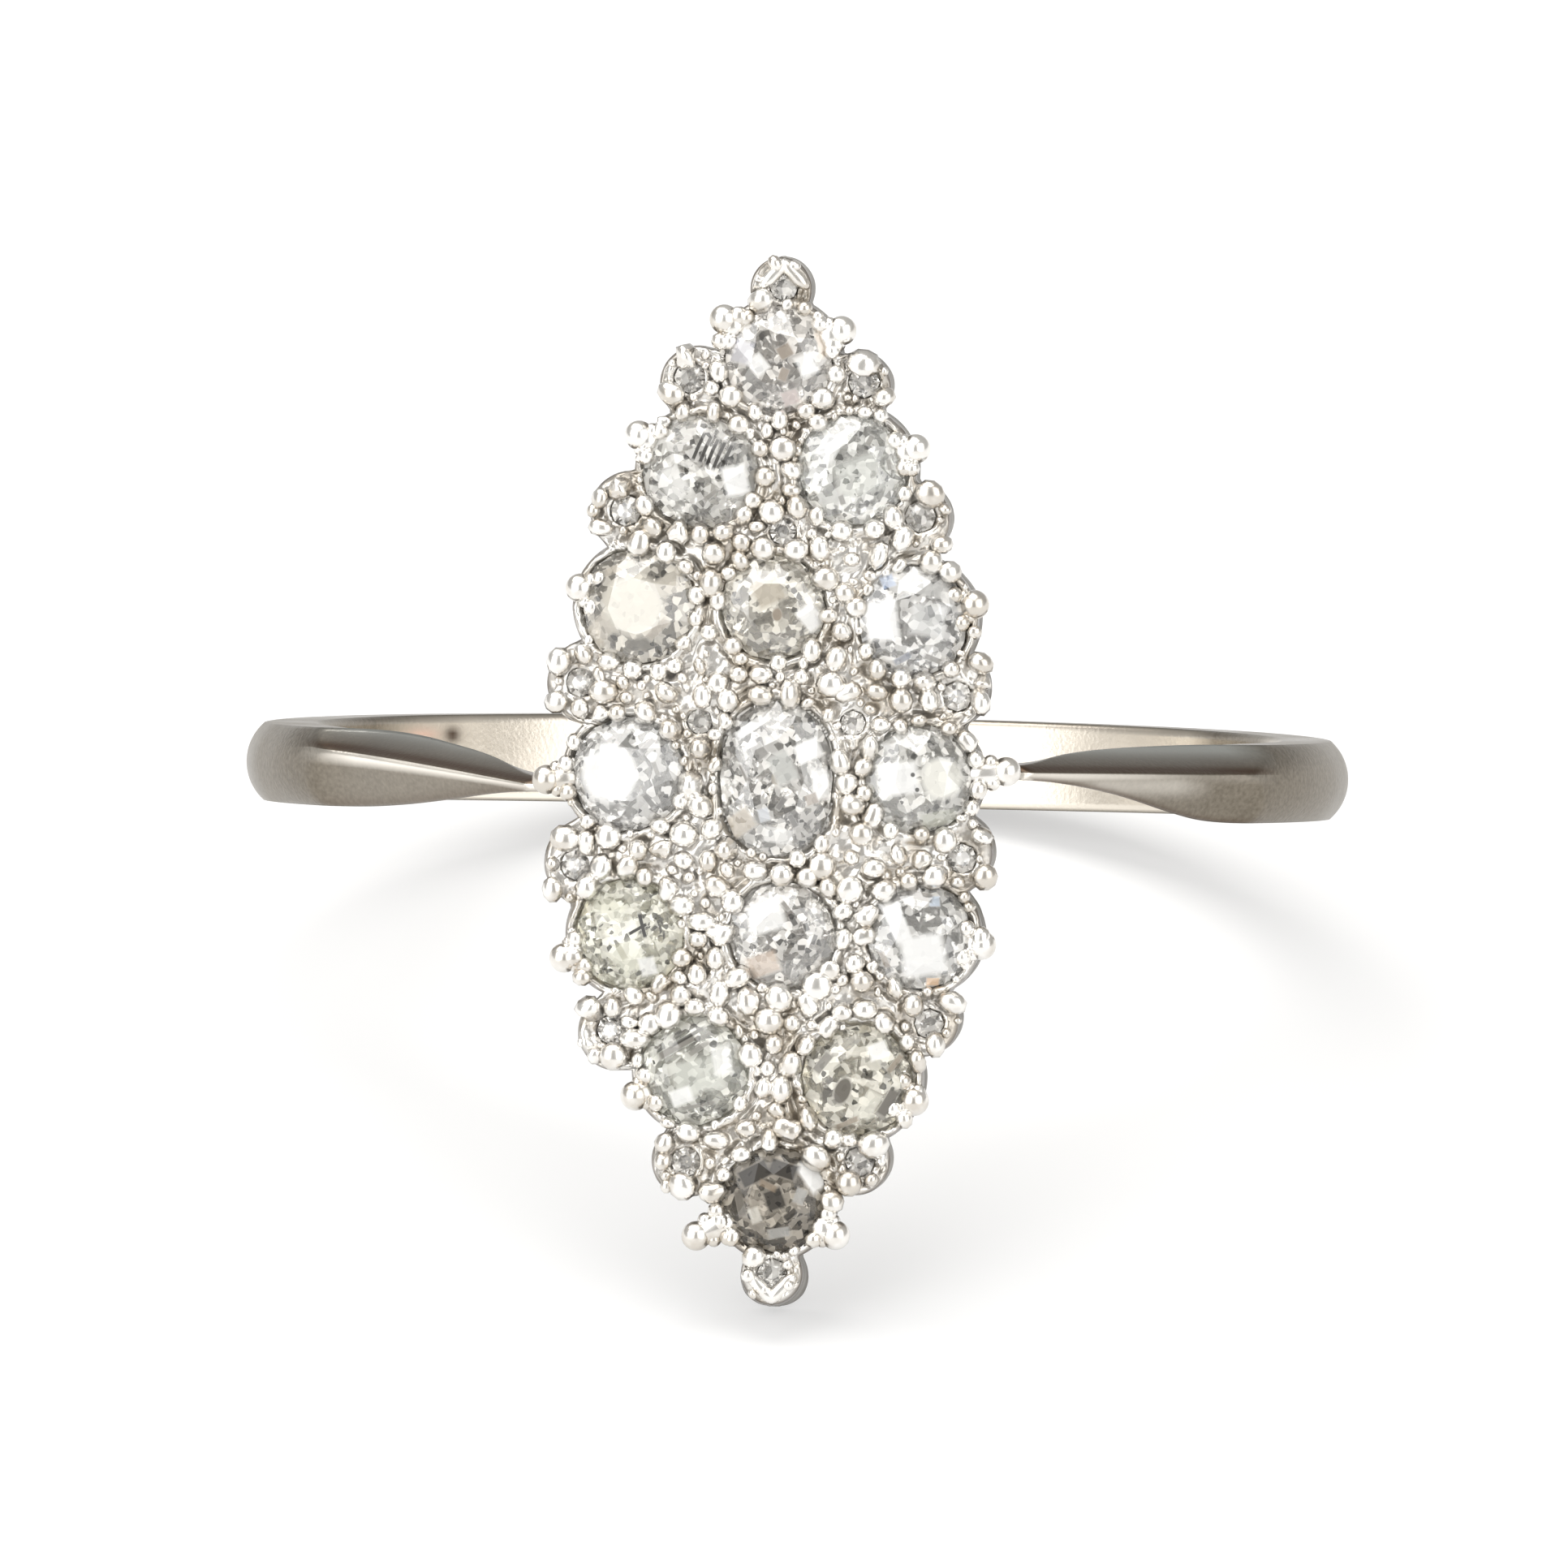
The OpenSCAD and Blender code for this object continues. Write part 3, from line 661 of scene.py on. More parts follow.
def plate_grid(angle, edges, half_columns):
    """Places across and along the plate, and how far they lie from its edge. The rows run along
    rays from the middles of the two arcs, and the columns from the left edge over the middle
    line to the right edge. The edges are the reach of the left and the right one."""
    share = np.linspace(0, 1, half_columns + 1)[None, 1:]
    middle_line = line_reach(angle)
    halves = []
    for side, edge in zip((-1, 1), edges):
        reach = middle_line[:, None] + share * (edge - middle_line)[:, None]
        x = side * (reach * np.cos(angle)[:, None] - head_arc_x)
        y = reach * np.sin(angle)[:, None]
        halves.append((x, y, edge[:, None] - reach))
    left, right = halves
    well_inside = np.full((len(angle), 1), 9.0)
    spine = (0 * well_inside, (head_arc_x * np.tan(angle))[:, None], well_inside)
    return [
        np.concatenate([a[:, ::-1], b, c], axis=1) for a, b, c in zip(left, spine, right)
    ]


RANDOM = np.random.default_rng(7)
LATTICE_SIZE = 97
LATTICE = RANDOM.uniform(-1, 1, (LATTICE_SIZE, LATTICE_SIZE))


def rough(x, y, cell):
    """Smooth random heights: values on a lattice of the cell's size, blended between its points
    with a curve that is level at each of them."""
    u = np.asarray(x) / cell
    v = np.asarray(y) / cell
    i = np.floor(u).astype(int)
    j = np.floor(v).astype(int)
    s = u - i
    t = v - j
    s = s * s * (3 - 2 * s)
    t = t * t * (3 - 2 * t)
    i, next_i = i % LATTICE_SIZE, (i + 1) % LATTICE_SIZE
    j, next_j = j % LATTICE_SIZE, (j + 1) % LATTICE_SIZE
    near = LATTICE[i, j] * (1 - s) + LATTICE[next_i, j] * s
    far = LATTICE[i, next_j] * (1 - s) + LATTICE[next_i, next_j] * s
    return near * (1 - t) + far * t


def snap_to_rims(x, y, held, share, gap, cell):
    """Moves the grid's points that lie near a rim onto it, so that the rim is round. Each gem's
    rim lies at a share of the gem's radius and a gap further out."""
    for gem in held:
        radius, stretch = gem_round(gem)
        radius = share * radius + gap
        middle_y = gem[1] + np.clip(y - gem[1], -stretch, stretch)
        dx = x - gem[0]
        dy = y - middle_y
        distance = np.hypot(dx, dy) + 1e-9
        snap = np.abs(distance - radius) < cell
        x = np.where(snap, gem[0] + dx * radius / distance, x)
        y = np.where(snap, middle_y + dy * radius / distance, y)
    return x, y


def graver_relief(x, y, edge):
    """Height of the plate's metal over the dome, and how deep it lies in shade. Each cup has a
    ledge, then the pavilion's slope down to a hole. Outside it stands a thin raised rim, then a
    cut groove, and the metal further out is lumpy. The outer edge is rounded over."""
    lift = 0.065 * rough(x, y, 0.21) + 0.05 * rough(x + 9, y, 0.11)
    lift = lift + 0.05 * np.abs(rough(x, y + 5, 0.33))
    deep = np.zeros_like(x)
    for gem in gems:
        out = girdle_distance(x, y, gem)
        radius, _ = gem_round(gem)
        size = 1.0 if gem[3] > MAIN_HALF else 0.45
        raised = 0.055 + 0.045 * rough(x * 1.7, y * 1.7, 0.25)
        rim = raised * bell(out, 0.10 * size, 0.06 * size)
        groove = 0.07 * bell(out, 0.25 * size, 0.055 * size)
        lift = lift + size * (rim - groove)
        deep = np.maximum(deep, bell(out, 0.25 * size, 0.06 * size))
        share = np.clip((out + radius) / radius, 0, 1)
        cup = np.interp(share, [0, 0.42, 0.45, 0.72, 1], [-1, -0.95, -0.67, -0.43, 0])
        cup = cup * PAVILION_SHARE * 2 * radius - GIRDLE_DEPTH - 0.06 * radius - STONE_GAP
        lift = np.where(out < STONE_GAP * 0.9, cup, lift)
    over = np.clip(1 - edge / PLATE_ROUND, 0, 1)
    lift = lift * np.clip(edge / 0.12, 0, 1) ** 0.5
    lift = lift - PLATE_ROUND * (1 - np.sqrt(1 - over**2 * 0.98))
    # Painted shade: darker in the grooves round the stones, in low places and at the outer edge
    deep = 0.35 * np.maximum(deep, 0.8 * np.clip((0.03 - lift) / 0.07, 0, 1) * (lift > -0.12))
    deep = np.maximum(deep, np.clip(1.1 - edge / 0.10, 0, 1))
    return lift, deep


def polished_platinum(name, dark, light, pits):
    """Bright platinum, a little uneven from the burnisher. The attribute for painted shade covers it
    with a dull brown painted shade."""
    material, tree, shader, place = new_material(name)
    worn = noise_node(tree, place, 1500.0, 3.0)
    painted_shade = attribute_node(tree, "painted_shade")
    tone = ramp_node(tree, worn, [(0.38, dark), (0.55, light)])
    tone = mix_node(tree, painted_shade, tone, (0.12, 0.10, 0.08))
    tree.links.new(tone, shader.inputs["Base Color"])
    tree.links.new(range_node(tree, painted_shade, 1.0, 0.5), shader.inputs["Metallic"])
    tree.links.new(range_node(tree, worn, 0.31, 0.18), shader.inputs["Roughness"])
    dents = noise_node(tree, place, 5200.0, 2.0)
    tree.links.new(bump_node(tree, dents, pits, 0.5), shader.inputs["Normal"])
    return material


def wall_shade_platinum():
    """The side wall's metal, painted dark and made less metallic to stand for the shade it shows, and
    uneven.
    """
    material, tree, shader, place = new_material("wall_shade_platinum")
    shader.inputs["Metallic"].default_value = 0.2
    shader.inputs["Specular IOR Level"].default_value = 0.2
    coat = noise_node(tree, place, 900.0, 4.0)
    tone = ramp_node(tree, coat, [(0.36, (0.11, 0.10, 0.085)), (0.62, (0.25, 0.235, 0.21))])
    tree.links.new(tone, shader.inputs["Base Color"])
    tree.links.new(range_node(tree, coat, 0.55, 0.35), shader.inputs["Roughness"])
    tree.links.new(bump_node(tree, coat, 0.00004, 0.5), shader.inputs["Normal"])
    return material


plate_metal = polished_platinum("cut_platinum", (0.63, 0.585, 0.515), (0.90, 0.88, 0.84), 0.00003)
PLATE_ROWS = 367
HALF_COLUMNS = 64
tip_top = TIP_REACH + TIP_RADIUS
ray_angle = np.arctan(np.linspace(-tip_top, tip_top, PLATE_ROWS) / head_arc_x)
plate_edges = [np.maximum(contour_reach(ray_angle, k), line_reach(ray_angle)) for k in (-1, 1)]
plate_x, plate_y, plate_edge = plate_grid(ray_angle, plate_edges, HALF_COLUMNS)
plate_x, plate_y = snap_to_rims(plate_x, plate_y, gems, 1, STONE_GAP, 0.026)
relief, shade = graver_relief(plate_x, plate_y, plate_edge)
plate_top, _ = on_dome(plate_x, plate_y, relief)
width = plate_top.shape[1]

# The contour as one closed line, and the wall from it down to the finger's curve and back up
# inside the hollow. Its rows run from the plate's edge to the hollow's top.
rim_line = np.concatenate([plate_top[:, -1], plate_top[::-1, 0]])
rim_number = np.concatenate([
    np.arange(PLATE_ROWS) * width + width - 1, np.arange(PLATE_ROWS)[::-1] * width
])
side_of = np.concatenate([np.ones(PLATE_ROWS), -np.ones(PLATE_ROWS)])
angle_of = np.concatenate([ray_angle, ray_angle[::-1]])
wall_out = np.stack([side_of * np.cos(angle_of), np.sin(angle_of)], axis=-1)
finger_curve = np.sqrt(WALL_FOOT**2 - rim_line[:, 0] ** 2)
fall = np.linspace(0, 1, 14)[1:, None]
wall_z = rim_line[:, 2] + fall * (finger_curve - rim_line[:, 2])
flare = np.interp(rim_line[:, 1], [-8.9, -8.3], [TIP_FLARE, WALL_FLARE])
flare = flare * (PLATE_TOP - wall_z) / (PLATE_TOP - WALL_FOOT)
dent = 0.012 * rough(rim_line[:, 1] * 1.3, wall_z * 2.1, 0.35)
wall_xy = rim_line[None, :, :2] + (flare + dent)[..., None] * wall_out
wall = np.concatenate([wall_xy, wall_z[..., None]], axis=-1)

inner_reach = np.maximum(hollow_reach(angle_of), line_reach(angle_of) + 0.004)
inner_x = side_of * (inner_reach * np.cos(angle_of) - head_arc_x)
inner_y = inner_reach * np.sin(angle_of)
inner_foot = np.sqrt(WALL_FOOT**2 - inner_x**2)
inner_top = DOME_AXIS + np.sqrt((DOME_RADIUS - PLATE_THICKNESS) ** 2 - inner_x**2)
climb = np.linspace(0, 1, 5)[:, None]
inner_z = inner_foot + climb * (inner_top + 0.06 - inner_foot)
inner = np.stack([inner_x + 0 * inner_z, inner_y + 0 * inner_z, inner_z], axis=-1)
shell = np.concatenate([wall, inner])

# The cups are open at their feet. The wall's first row joins the plate's edge and is cut bright
# with it.
loop = len(rim_number)
plate_size = PLATE_ROWS * width
plate_quads = grid_faces(PLATE_ROWS, width, closed=False)
open_quad = (stone_share(plate_x, plate_y).ravel()[plate_quads] < CUP_OPEN).all(axis=1)
plate_quads = plate_quads[~open_quad]
below_rim = plate_size + np.arange(loop)
first_wall = np.stack(
    [np.roll(rim_number, -1), rim_number, below_rim, np.roll(below_rim, -1)], axis=-1
)
wall_quads = grid_faces(len(shell), loop, first=plate_size)[:, ::-1]
casting = new_piece(
    "head_casting", np.concatenate([plate_top.reshape(-1, 3), shell.reshape(-1, 3)]),
    np.concatenate([plate_quads, first_wall, wall_quads]), plate_metal,
)
casting.data.materials.append(wall_shade_platinum())
is_wall = np.arange(len(casting.data.polygons)) >= len(plate_quads) + loop
casting.data.polygons.foreach_set("material_index", is_wall)
# Painted shade all over the wall, and a little less inside the hollow
wall_painted_shade = np.repeat([1.0] * len(fall) + [0.7] * len(climb), loop)


# Underside of the plate
# The plate's back is left as it was cast. It follows the dome at the plate's thickness, and each
# main stone's seat is open to the finger through a round hole.
BACK_ROWS = 185
BACK_COLUMNS = 34
BACK_REACH = 8.1
back_angle = np.arctan(np.linspace(-BACK_REACH, BACK_REACH, BACK_ROWS) / head_arc_x)
back_edge = np.maximum(hollow_reach(back_angle), line_reach(back_angle)) + 0.05
back_x, back_y, _ = plate_grid(back_angle, [back_edge, back_edge], BACK_COLUMNS)
back_x, back_y = snap_to_rims(back_x, back_y, stones, HOLE_RIM, 0, 0.05)
back_z = DOME_AXIS + np.sqrt((DOME_RADIUS - PLATE_THICKNESS) ** 2 - back_x**2)
back_quads = grid_faces(BACK_ROWS, back_x.shape[1], closed=False)[:, ::-1]
open_quad = (stone_share(back_x, back_y).ravel()[back_quads] < BACK_OPEN).all(axis=1)
cast_metal = polished_platinum("cast_platinum", (0.36, 0.335, 0.295), (0.44, 0.415, 0.37), 0.00003)
new_piece(
    "plate_underside", np.stack([back_x, back_y, back_z], axis=-1).reshape(-1, 3),
    back_quads[~open_quad], cast_metal,
)


# Claws
# A round wire runs up the side wall beside each edge stone, swells to a ball at the rim, and a
# short neck is pressed from the ball over the stone's edge.
CLAW_BALL = 0.26
# A claw's path runs from the wall's foot up to the ball, then in over the stone's edge. At each
# share of it: how far it lies in from the ball, and its height over the plate's edge
CLAW_SHARES = [0, 0.3, 0.55, 0.72, 1]
CLAW_IN = [0.36, 0.30, 0.10, 0]
CLAW_HEIGHT = [-1.35, -0.8, -0.35, -0.04, 0.02]
# The wire's radius at its own shares of the path
WIRE_SHARES = [0, 0.5, 0.72, 0.9, 1]
WIRE_RADII = [0.16, 0.20, 0.23, 0.24, 0.15]
# How far the neck's end and the grains beside it lie over the stone's edge
NECK_OVER = 0.12
NECK_GRAIN_OVER = 0.08
# Across, along, and the place across and along of the stone that it holds
CLAWS = np.array([
    [-0.98, 8.02, -0.03, 7.33], [1.06, 7.84, -0.03, 7.33], [-2.45, 5.99, -1.37, 5.36],
    [2.36, 5.80, 1.26, 5.42], [-3.46, 3.32, -2.42, 3.02], [3.40, 3.10, 2.35, 2.81],
    [-4.02, -0.02, -2.58, 0.10], [3.98, 0.20, 2.47, 0.06], [-3.68, -3.12, -2.53, -2.69],
    [3.58, -2.82, 2.51, -2.68], [-2.41, -5.50, -1.37, -5.05], [2.44, -5.54, 1.46, -5.18],
    [-1.32, -7.92, 0.03, -7.28], [1.10, -7.88, 0.03, -7.28],
])


def capped_faces(rings, columns):
    """Quads between closed rings of points, and a fan at each end. The fans' poles follow the
    rings' points: first the one at the first ring, then the one at the last."""
    faces = [list(quad) for quad in grid_faces(rings, columns)]
    pole = rings * columns
    last = pole - columns
    for k in range(columns):
        after = (k + 1) % columns
        faces.append([pole, after, k])
        faces.append([pole + 1, last + k, last + after])
    return faces


def tube(path, radii, columns):
    """A closed round tube: circles of the given radii square to the path, and a pole at each
    end. Each circle starts square to the path and to a slant that no path follows."""
    slant = [0.3, 0.2, 0.93]
    step = np.gradient(path, axis=0)
    step /= np.linalg.norm(step, axis=1)[:, None]
    guide = np.cross(step, slant)
    guide /= np.linalg.norm(guide, axis=1)[:, None]
    other = np.cross(step, guide)
    turn = np.arange(columns) * 2 * math.pi / columns
    ring = np.cos(turn)[None, :, None] * guide[:, None] + np.sin(turn)[None, :, None] * other[:, None]
    points = (path[:, None] + radii[:, None, None] * ring).reshape(-1, 3)
    start = path[0] - step[0] * radii[0] * 0.3
    end = path[-1] + step[-1] * radii[-1] * 0.3
    return np.concatenate([points, [start, end]]), capped_faces(len(path), columns)


def joined(parts):
    """Several meshes as one: their points in one list and their faces renumbered."""
    points = []
    faces = []
    count = 0
    for part_points, part_faces in parts:
        points.append(part_points)
        faces += [[count + k for k in face] for face in part_faces]
        count += len(part_points)
    return np.concatenate(points), faces


def ball(middle, radius, columns, rings):
    """A closed round ball: rings of points from its foot to its top."""
    turn = np.linspace(0, math.pi, rings + 2)[1:-1]
    climb = np.stack([0 * turn, 0 * turn, -np.cos(turn)], axis=-1)
    return tube(middle + climb * radius, radius * np.sin(turn), columns)


bead_metal = polished_platinum("bead_platinum", (0.66, 0.62, 0.56), (0.90, 0.88, 0.845), 0.00001)
claw_parts = []
for x, y, stone_x, stone_y in CLAWS:
    inward = np.array([stone_x - x, stone_y - y])
    length = np.hypot(*inward)
    inward /= length
    held = stones[np.hypot(stones[:, 0] - stone_x, stones[:, 1] - stone_y).argmin()]
    room = length - held[2]
    top = float(dome_height(x))
    reach = np.linspace(0, 1, 25)
    plan = np.interp(reach, CLAW_SHARES, [*CLAW_IN, room + NECK_OVER])
    height = np.interp(reach, CLAW_SHARES, CLAW_HEIGHT)
    # The path's corners are rounded twice by an average of neighbours
    weights = np.array([0.25, 0.5, 0.25])
    for _ in range(2):
        plan[1:-1] = np.convolve(plan, weights, "valid")
        height[1:-1] = np.convolve(height, weights, "valid")
    path = np.stack([x + inward[0] * plan, y + inward[1] * plan, top + height], axis=-1)
    claw_parts.append(tube(path, np.interp(reach, WIRE_SHARES, WIRE_RADII), 16))
    claw_parts.append(ball(np.array([x, y, top + 0.02]), CLAW_BALL, 24, 13))
    # Two grains on each side of the neck, halfway along it and where it meets the stone
    across = np.array([-inward[1], inward[0]])
    for share, way in ((0.5, -1), (0.5, 1), (1, -1), (1, 1)):
        place = np.array([x, y]) + inward * share * max(room - NECK_GRAIN_OVER, 0.3)
        place = place + way * (0.12 + 0.13 * share) * across
        height = dome_height(place[0]) - 0.05 + 0.10 * share
        claw_parts.append(ball(np.array([*place, height]), 0.11 + 0.05 * share, 14, 9))
points, faces = joined(claw_parts)
claws = new_piece("claws", points, faces, bead_metal)
# Painted shade under the balls and down the wires
below = dome_height(np.clip(points[:, 0], -4, 4)) - points[:, 2]
under = np.clip((below + 0.10) / 0.12, 0, 1) + 0.7 * np.clip((below - 0.30) / 0.25, 0, 1)
paint(claws, "painted_shade", 0.5 * under)


# Grains
# Beads raised from the plate: larger ones pushed over the stones' edges, in pairs and threes,
# and smaller ones that fill the metal left between them.
PLATE_HALF_WIDTH = 3.9
PLATE_HALF_LENGTH = 9.0
# Radius of the grains that hold the stones. One on a lobe is this many times as large, and is
# pushed out to the lobe's edge
MAIN_GRAIN = 0.2
LOBE_GRAIN = 1.08
# Beads round each main stone: how many are tried, how far they stand over its girdle, their
# radii, and their limits
ROUND_COUNT = 14
ROUND_OVER = 0.09
ROUND_RADII = (0.15, 0.24)
ROUND_LIMITS = (0.13, 0.10, 0.80)
# Beads that fill the rest of the plate: their radii from large to small, how often each size is
# tried, and their limits
FILL_RADII = (0.2, 0.17, 0.13, 0.10, 0.075)
FILL_TRIES = 1800
FILL_LIMITS = (0.08, 0.05, 0.88)
# Painted shade at the foot of a bead, and how far it spreads on the plate
FOOT_SHADE = 0.32
FOOT_SPREAD = 0.06
# Across and along, of the grains that hold the stones
GRAINS = np.array([
    [-1.60, 7.28], [-1.82, 6.76], [1.42, 7.20], [1.72, 6.72], [-2.74, 4.98], [-3.00, 4.42],
    [2.56, 4.94], [2.76, 4.20], [-3.70, 1.98], [-3.76, 1.38], [3.42, 2.02], [3.42, 1.46],
    [-3.62, -1.12], [-3.78, -1.86], [3.48, -0.98], [3.60, -1.62], [-3.14, -4.06], [-2.78, -4.74],
    [3.00, -3.86], [2.76, -4.48], [-1.80, -6.34], [-1.54, -6.96], [1.66, -6.34], [1.34, -6.90],
    [0.06, 5.78], [-0.12, 4.68], [0.30, 4.74], [-0.26, 4.06], [-2.24, 4.44], [2.08, 4.60],
    [0.70, 4.04], [1.72, 3.96], [-1.16, 3.44], [-1.18, 2.56], [1.12, 2.60], [1.14, 3.28],
    [-2.06, 1.86], [0.44, 1.80], [0.92, 1.70], [-0.66, 1.82], [1.22, 1.56], [2.12, 1.42],
    [-1.32, 1.46], [-1.34, 0.56], [1.30, -0.40], [-1.30, -0.42], [-2.36, -1.20], [-3.08, -1.52],
    [-1.16, -1.40], [-0.36, -1.56], [0.38, -1.32], [1.30, -1.30], [2.12, -1.26], [2.98, -1.08],
    [-1.26, -2.44], [-1.02, -3.06], [1.14, -2.26], [1.38, -3.16], [-1.62, -3.74], [-2.16, -4.24],
    [-0.42, -3.82], [0.58, -3.86], [1.60, -3.94], [2.46, -3.96], [0.00, -4.58], [-0.16, -5.34],
    [0.14, -5.36], [-0.50, -6.04], [0.26, -6.04], [-1.08, -6.30], [1.08, -6.22], [-1.10, 3.98],
    [2.60, 1.42],
])
beads = []
for x, y in GRAINS:
    r = MAIN_GRAIN * RANDOM.uniform(0.92, 1.12)
    out_x, out_y = ([x, y] - LOBES[:, :2]).T
    off = np.hypot(out_x, out_y)
    k = off.argmin()
    if off[k] < LOBES[k, 2] and math.hypot(x / PLATE_HALF_WIDTH, y / PLATE_HALF_LENGTH) > 0.7:
        x += EDGE_LIP * out_x[k] / off[k]
        y += EDGE_LIP * out_y[k] / off[k]
        r *= LOBE_GRAIN
    beads.append((x, y, r))


def inside_edge(x, y, margin):
    """True where a place lies on the plate, further in than the margin."""
    if math.hypot(abs(x) + head_arc_x, y) < head_arc - margin:
        return True
    off = np.hypot(x - edge_rounds[:, 0], y - edge_rounds[:, 1])
    return bool((off < edge_rounds[:, 2] - margin).any())


def fits(x, y, r, over_main, over_chip, packing):
    """True where a new bead keeps its limits: how far it may stand over a main stone and over a
    tiny one, and its least distance from another bead, as a share of the sum of their radii."""
    for gem in gems:
        out = float(girdle_distance(x, y, gem))
        if out < r - (over_main if gem[3] > MAIN_HALF else over_chip):
            return False
    return all(math.hypot(x - bx, y - by) > packing * (r + br) for bx, by, br in beads)


for gem in stones:
    start = RANDOM.uniform(0, 2 * math.pi)
    for k in range(ROUND_COUNT):
        turn = start + (k + RANDOM.uniform(-0.3, 0.3)) * 2 * math.pi / ROUND_COUNT
        r = RANDOM.uniform(*ROUND_RADII)
        x = gem[0] + (gem[2] + r - ROUND_OVER) * math.cos(turn)
        y = gem[1] + (gem[3] + r - ROUND_OVER) * math.sin(turn)
        if inside_edge(x, y, r * 0.4) and fits(x, y, r, *ROUND_LIMITS):
            beads.append((x, y, r))
for size in FILL_RADII:
    for _ in range(FILL_TRIES):
        r = size * RANDOM.uniform(0.9, 1.15)
        x = RANDOM.uniform(-PLATE_HALF_WIDTH, PLATE_HALF_WIDTH)
        y = RANDOM.uniform(-PLATE_HALF_LENGTH, PLATE_HALF_LENGTH)
        if inside_edge(x, y, r * 0.7) and fits(x, y, r, *FILL_LIMITS):
            beads.append((x, y, r))


def unit_ball(rows, columns):
    """A ball of radius one as points and faces: rings from the top pole down to the other."""
    down = (np.arange(1, rows) * math.pi / rows)[:, None]
    turn = np.arange(columns) * 2 * math.pi / columns
    rings = np.stack(
        [np.sin(down) * np.cos(turn), np.sin(down) * np.sin(turn), np.cos(down) + 0 * turn], axis=-1
    )
    points = np.concatenate([rings.reshape(-1, 3), [[0, 0, 1], [0, 0, -1]]])
    return points, [face[::-1] for face in capped_faces(rows - 1, columns)]


ball_points, ball_faces = unit_ball(7, 10)
bead = np.array(beads)
total = len(bead)
# Each bead is sunk a little into the plate and is wider or narrower across and along
seat, turned = on_dome(bead[:, 0], bead[:, 1], bead[:, 2] * RANDOM.uniform(0.25, 0.6, total))
wide = RANDOM.uniform(0.85, 1.2, total)
long = RANDOM.uniform(0.85, 1.2, total)
turned = turned * np.stack([wide, long, np.full(total, 0.95)], axis=-1)[:, :, None]
# Its radius swells and shrinks in a slow wave along a direction of its own
wave = RANDOM.normal(size=(total, 1, 3)) * 1.5
swell = 1 + 0.18 * np.sin((ball_points * wave).sum(-1) + RANDOM.uniform(0, 6, (total, 1)))
bead_points = seat[:, None] + (bead[:, 2, None] * swell)[..., None] * (ball_points @ turned)
bead_faces = [[k + n * len(ball_points) for k in face] for n in range(total) for face in ball_faces]
grains = new_piece("grains", bead_points.reshape(-1, 3), bead_faces, bead_metal)
# Painted shade at the foot of each bead, on the bead and on the plate round it
foot = np.clip((0.42 - ball_points[:, 2]) / 0.5, 0, 1)
paint(grains, "painted_shade", np.tile(FOOT_SHADE * foot, total))
plate_painted_shade = shade
for x, y, r in beads:
    ring = FOOT_SHADE * bell(np.hypot(plate_x - x, plate_y - y), r, FOOT_SPREAD)
    plate_painted_shade = np.maximum(plate_painted_shade, ring * (relief > -0.12))
paint(casting, "painted_shade", np.concatenate([plate_painted_shade.ravel(), wall_painted_shade]))


# Tip claws
# Each point of the head ends in a chevron: two bars bent round the tip, that meet in a point.
CHEVRON_RADIUS = 0.13
CHEVRON_RADII = np.array([0.06, 0.11, 0.13, 0.13, 0.13, 0.13, 0.12, 0.10, 0.06])
CHEVRON_LEAN = math.radians(46)
chevron_parts = []
for x, end in ((0.05, 1), (0.0, -1)):
    point = np.array([x, end * (TIP_REACH + TIP_RADIUS - CHEVRON_RADIUS), PLATE_TOP])
    for side in (-1, 1):
        arm = np.array([side * math.cos(CHEVRON_LEAN), -end * math.sin(CHEVRON_LEAN), 0])
        bar = point + np.linspace(-0.08, 0.58, len(CHEVRON_RADII))[:, None] * arm
        chevron_parts.append(tube(bar, CHEVRON_RADII, 12))
points, faces = joined(chevron_parts)
new_piece("tip_claws", points, faces, bead_metal)


# Stones
# Old-cut diamonds of mixed quality, cut by hand from several parcels. The solids have the table,
# facets and open culet. Each stone has its own tint, and marks that show in it: its own clouds
# and dark inclusions, with painted highlights in milky white, painted glints and dark facets.

# How strongly the stones bend light and mirror it: less where dark marks show through the top
STONE_INDEX = 2.2
DULL_INDEX = {
    "stone_2_left": 1.6, "stone_5_left": 1.5, "stone_6_left": 1.7, "stone_6_right": 1.55,
    "stone_7": 1.45,
}
CHIP_TINT = (0.95, 0.93, 0.89)
# Tint of each stone
STONE_TINTS = {
    "stone_1": (0.93, 0.895, 0.84),
    "stone_2_left": (0.93, 0.915, 0.87),
    "stone_2_right": (0.99, 0.985, 0.94),
    "stone_3_left": (0.9, 0.85, 0.75),
    "stone_3_middle": (0.92, 0.88, 0.78),
    "stone_3_right": (1.0, 0.985, 0.95),
    "stone_4_left": (1.0, 0.985, 0.95),
    "stone_4_middle": (0.95, 0.93, 0.885),
    "stone_4_right": (1.0, 0.985, 0.935),
    "stone_5_left": (0.95, 0.935, 0.83),
    "stone_5_middle": (1.0, 0.975, 0.925),
    "stone_5_right": (1.0, 0.985, 0.945),
    "stone_6_left": (0.92, 0.915, 0.84),
    "stone_6_right": (0.94, 0.91, 0.81),
    "stone_7": (0.5, 0.455, 0.385),
}
# Colours of the marks that several stones have: white paints a highlight where a facet catches the
# light, and grey, smoke, dark and brown paint dark facets as well as the stones' own inclusions
WHITE = (0.74, 0.74, 0.73)
GREY = (0.30, 0.30, 0.29)
SMOKE = (0.11, 0.10, 0.085)
DARK = (0.02, 0.018, 0.016)
BROWN = (0.20, 0.155, 0.11)
# Painted glints and dark facets, as cells to the metre and steps of one share each: of the tint
# that they have, and of the light that they let through
GLINT_CELLS = 10500.0
GLINT_STEPS = [(0.0, 0.14), (0.045, 0.55), (0.11, 0.90), (0.28, 1.0)]
CLEAR_CELLS = 7500.0
CLEAR_STEPS = [(0.0, 0.92), (0.55, 0.62), (0.85, 0.35)]
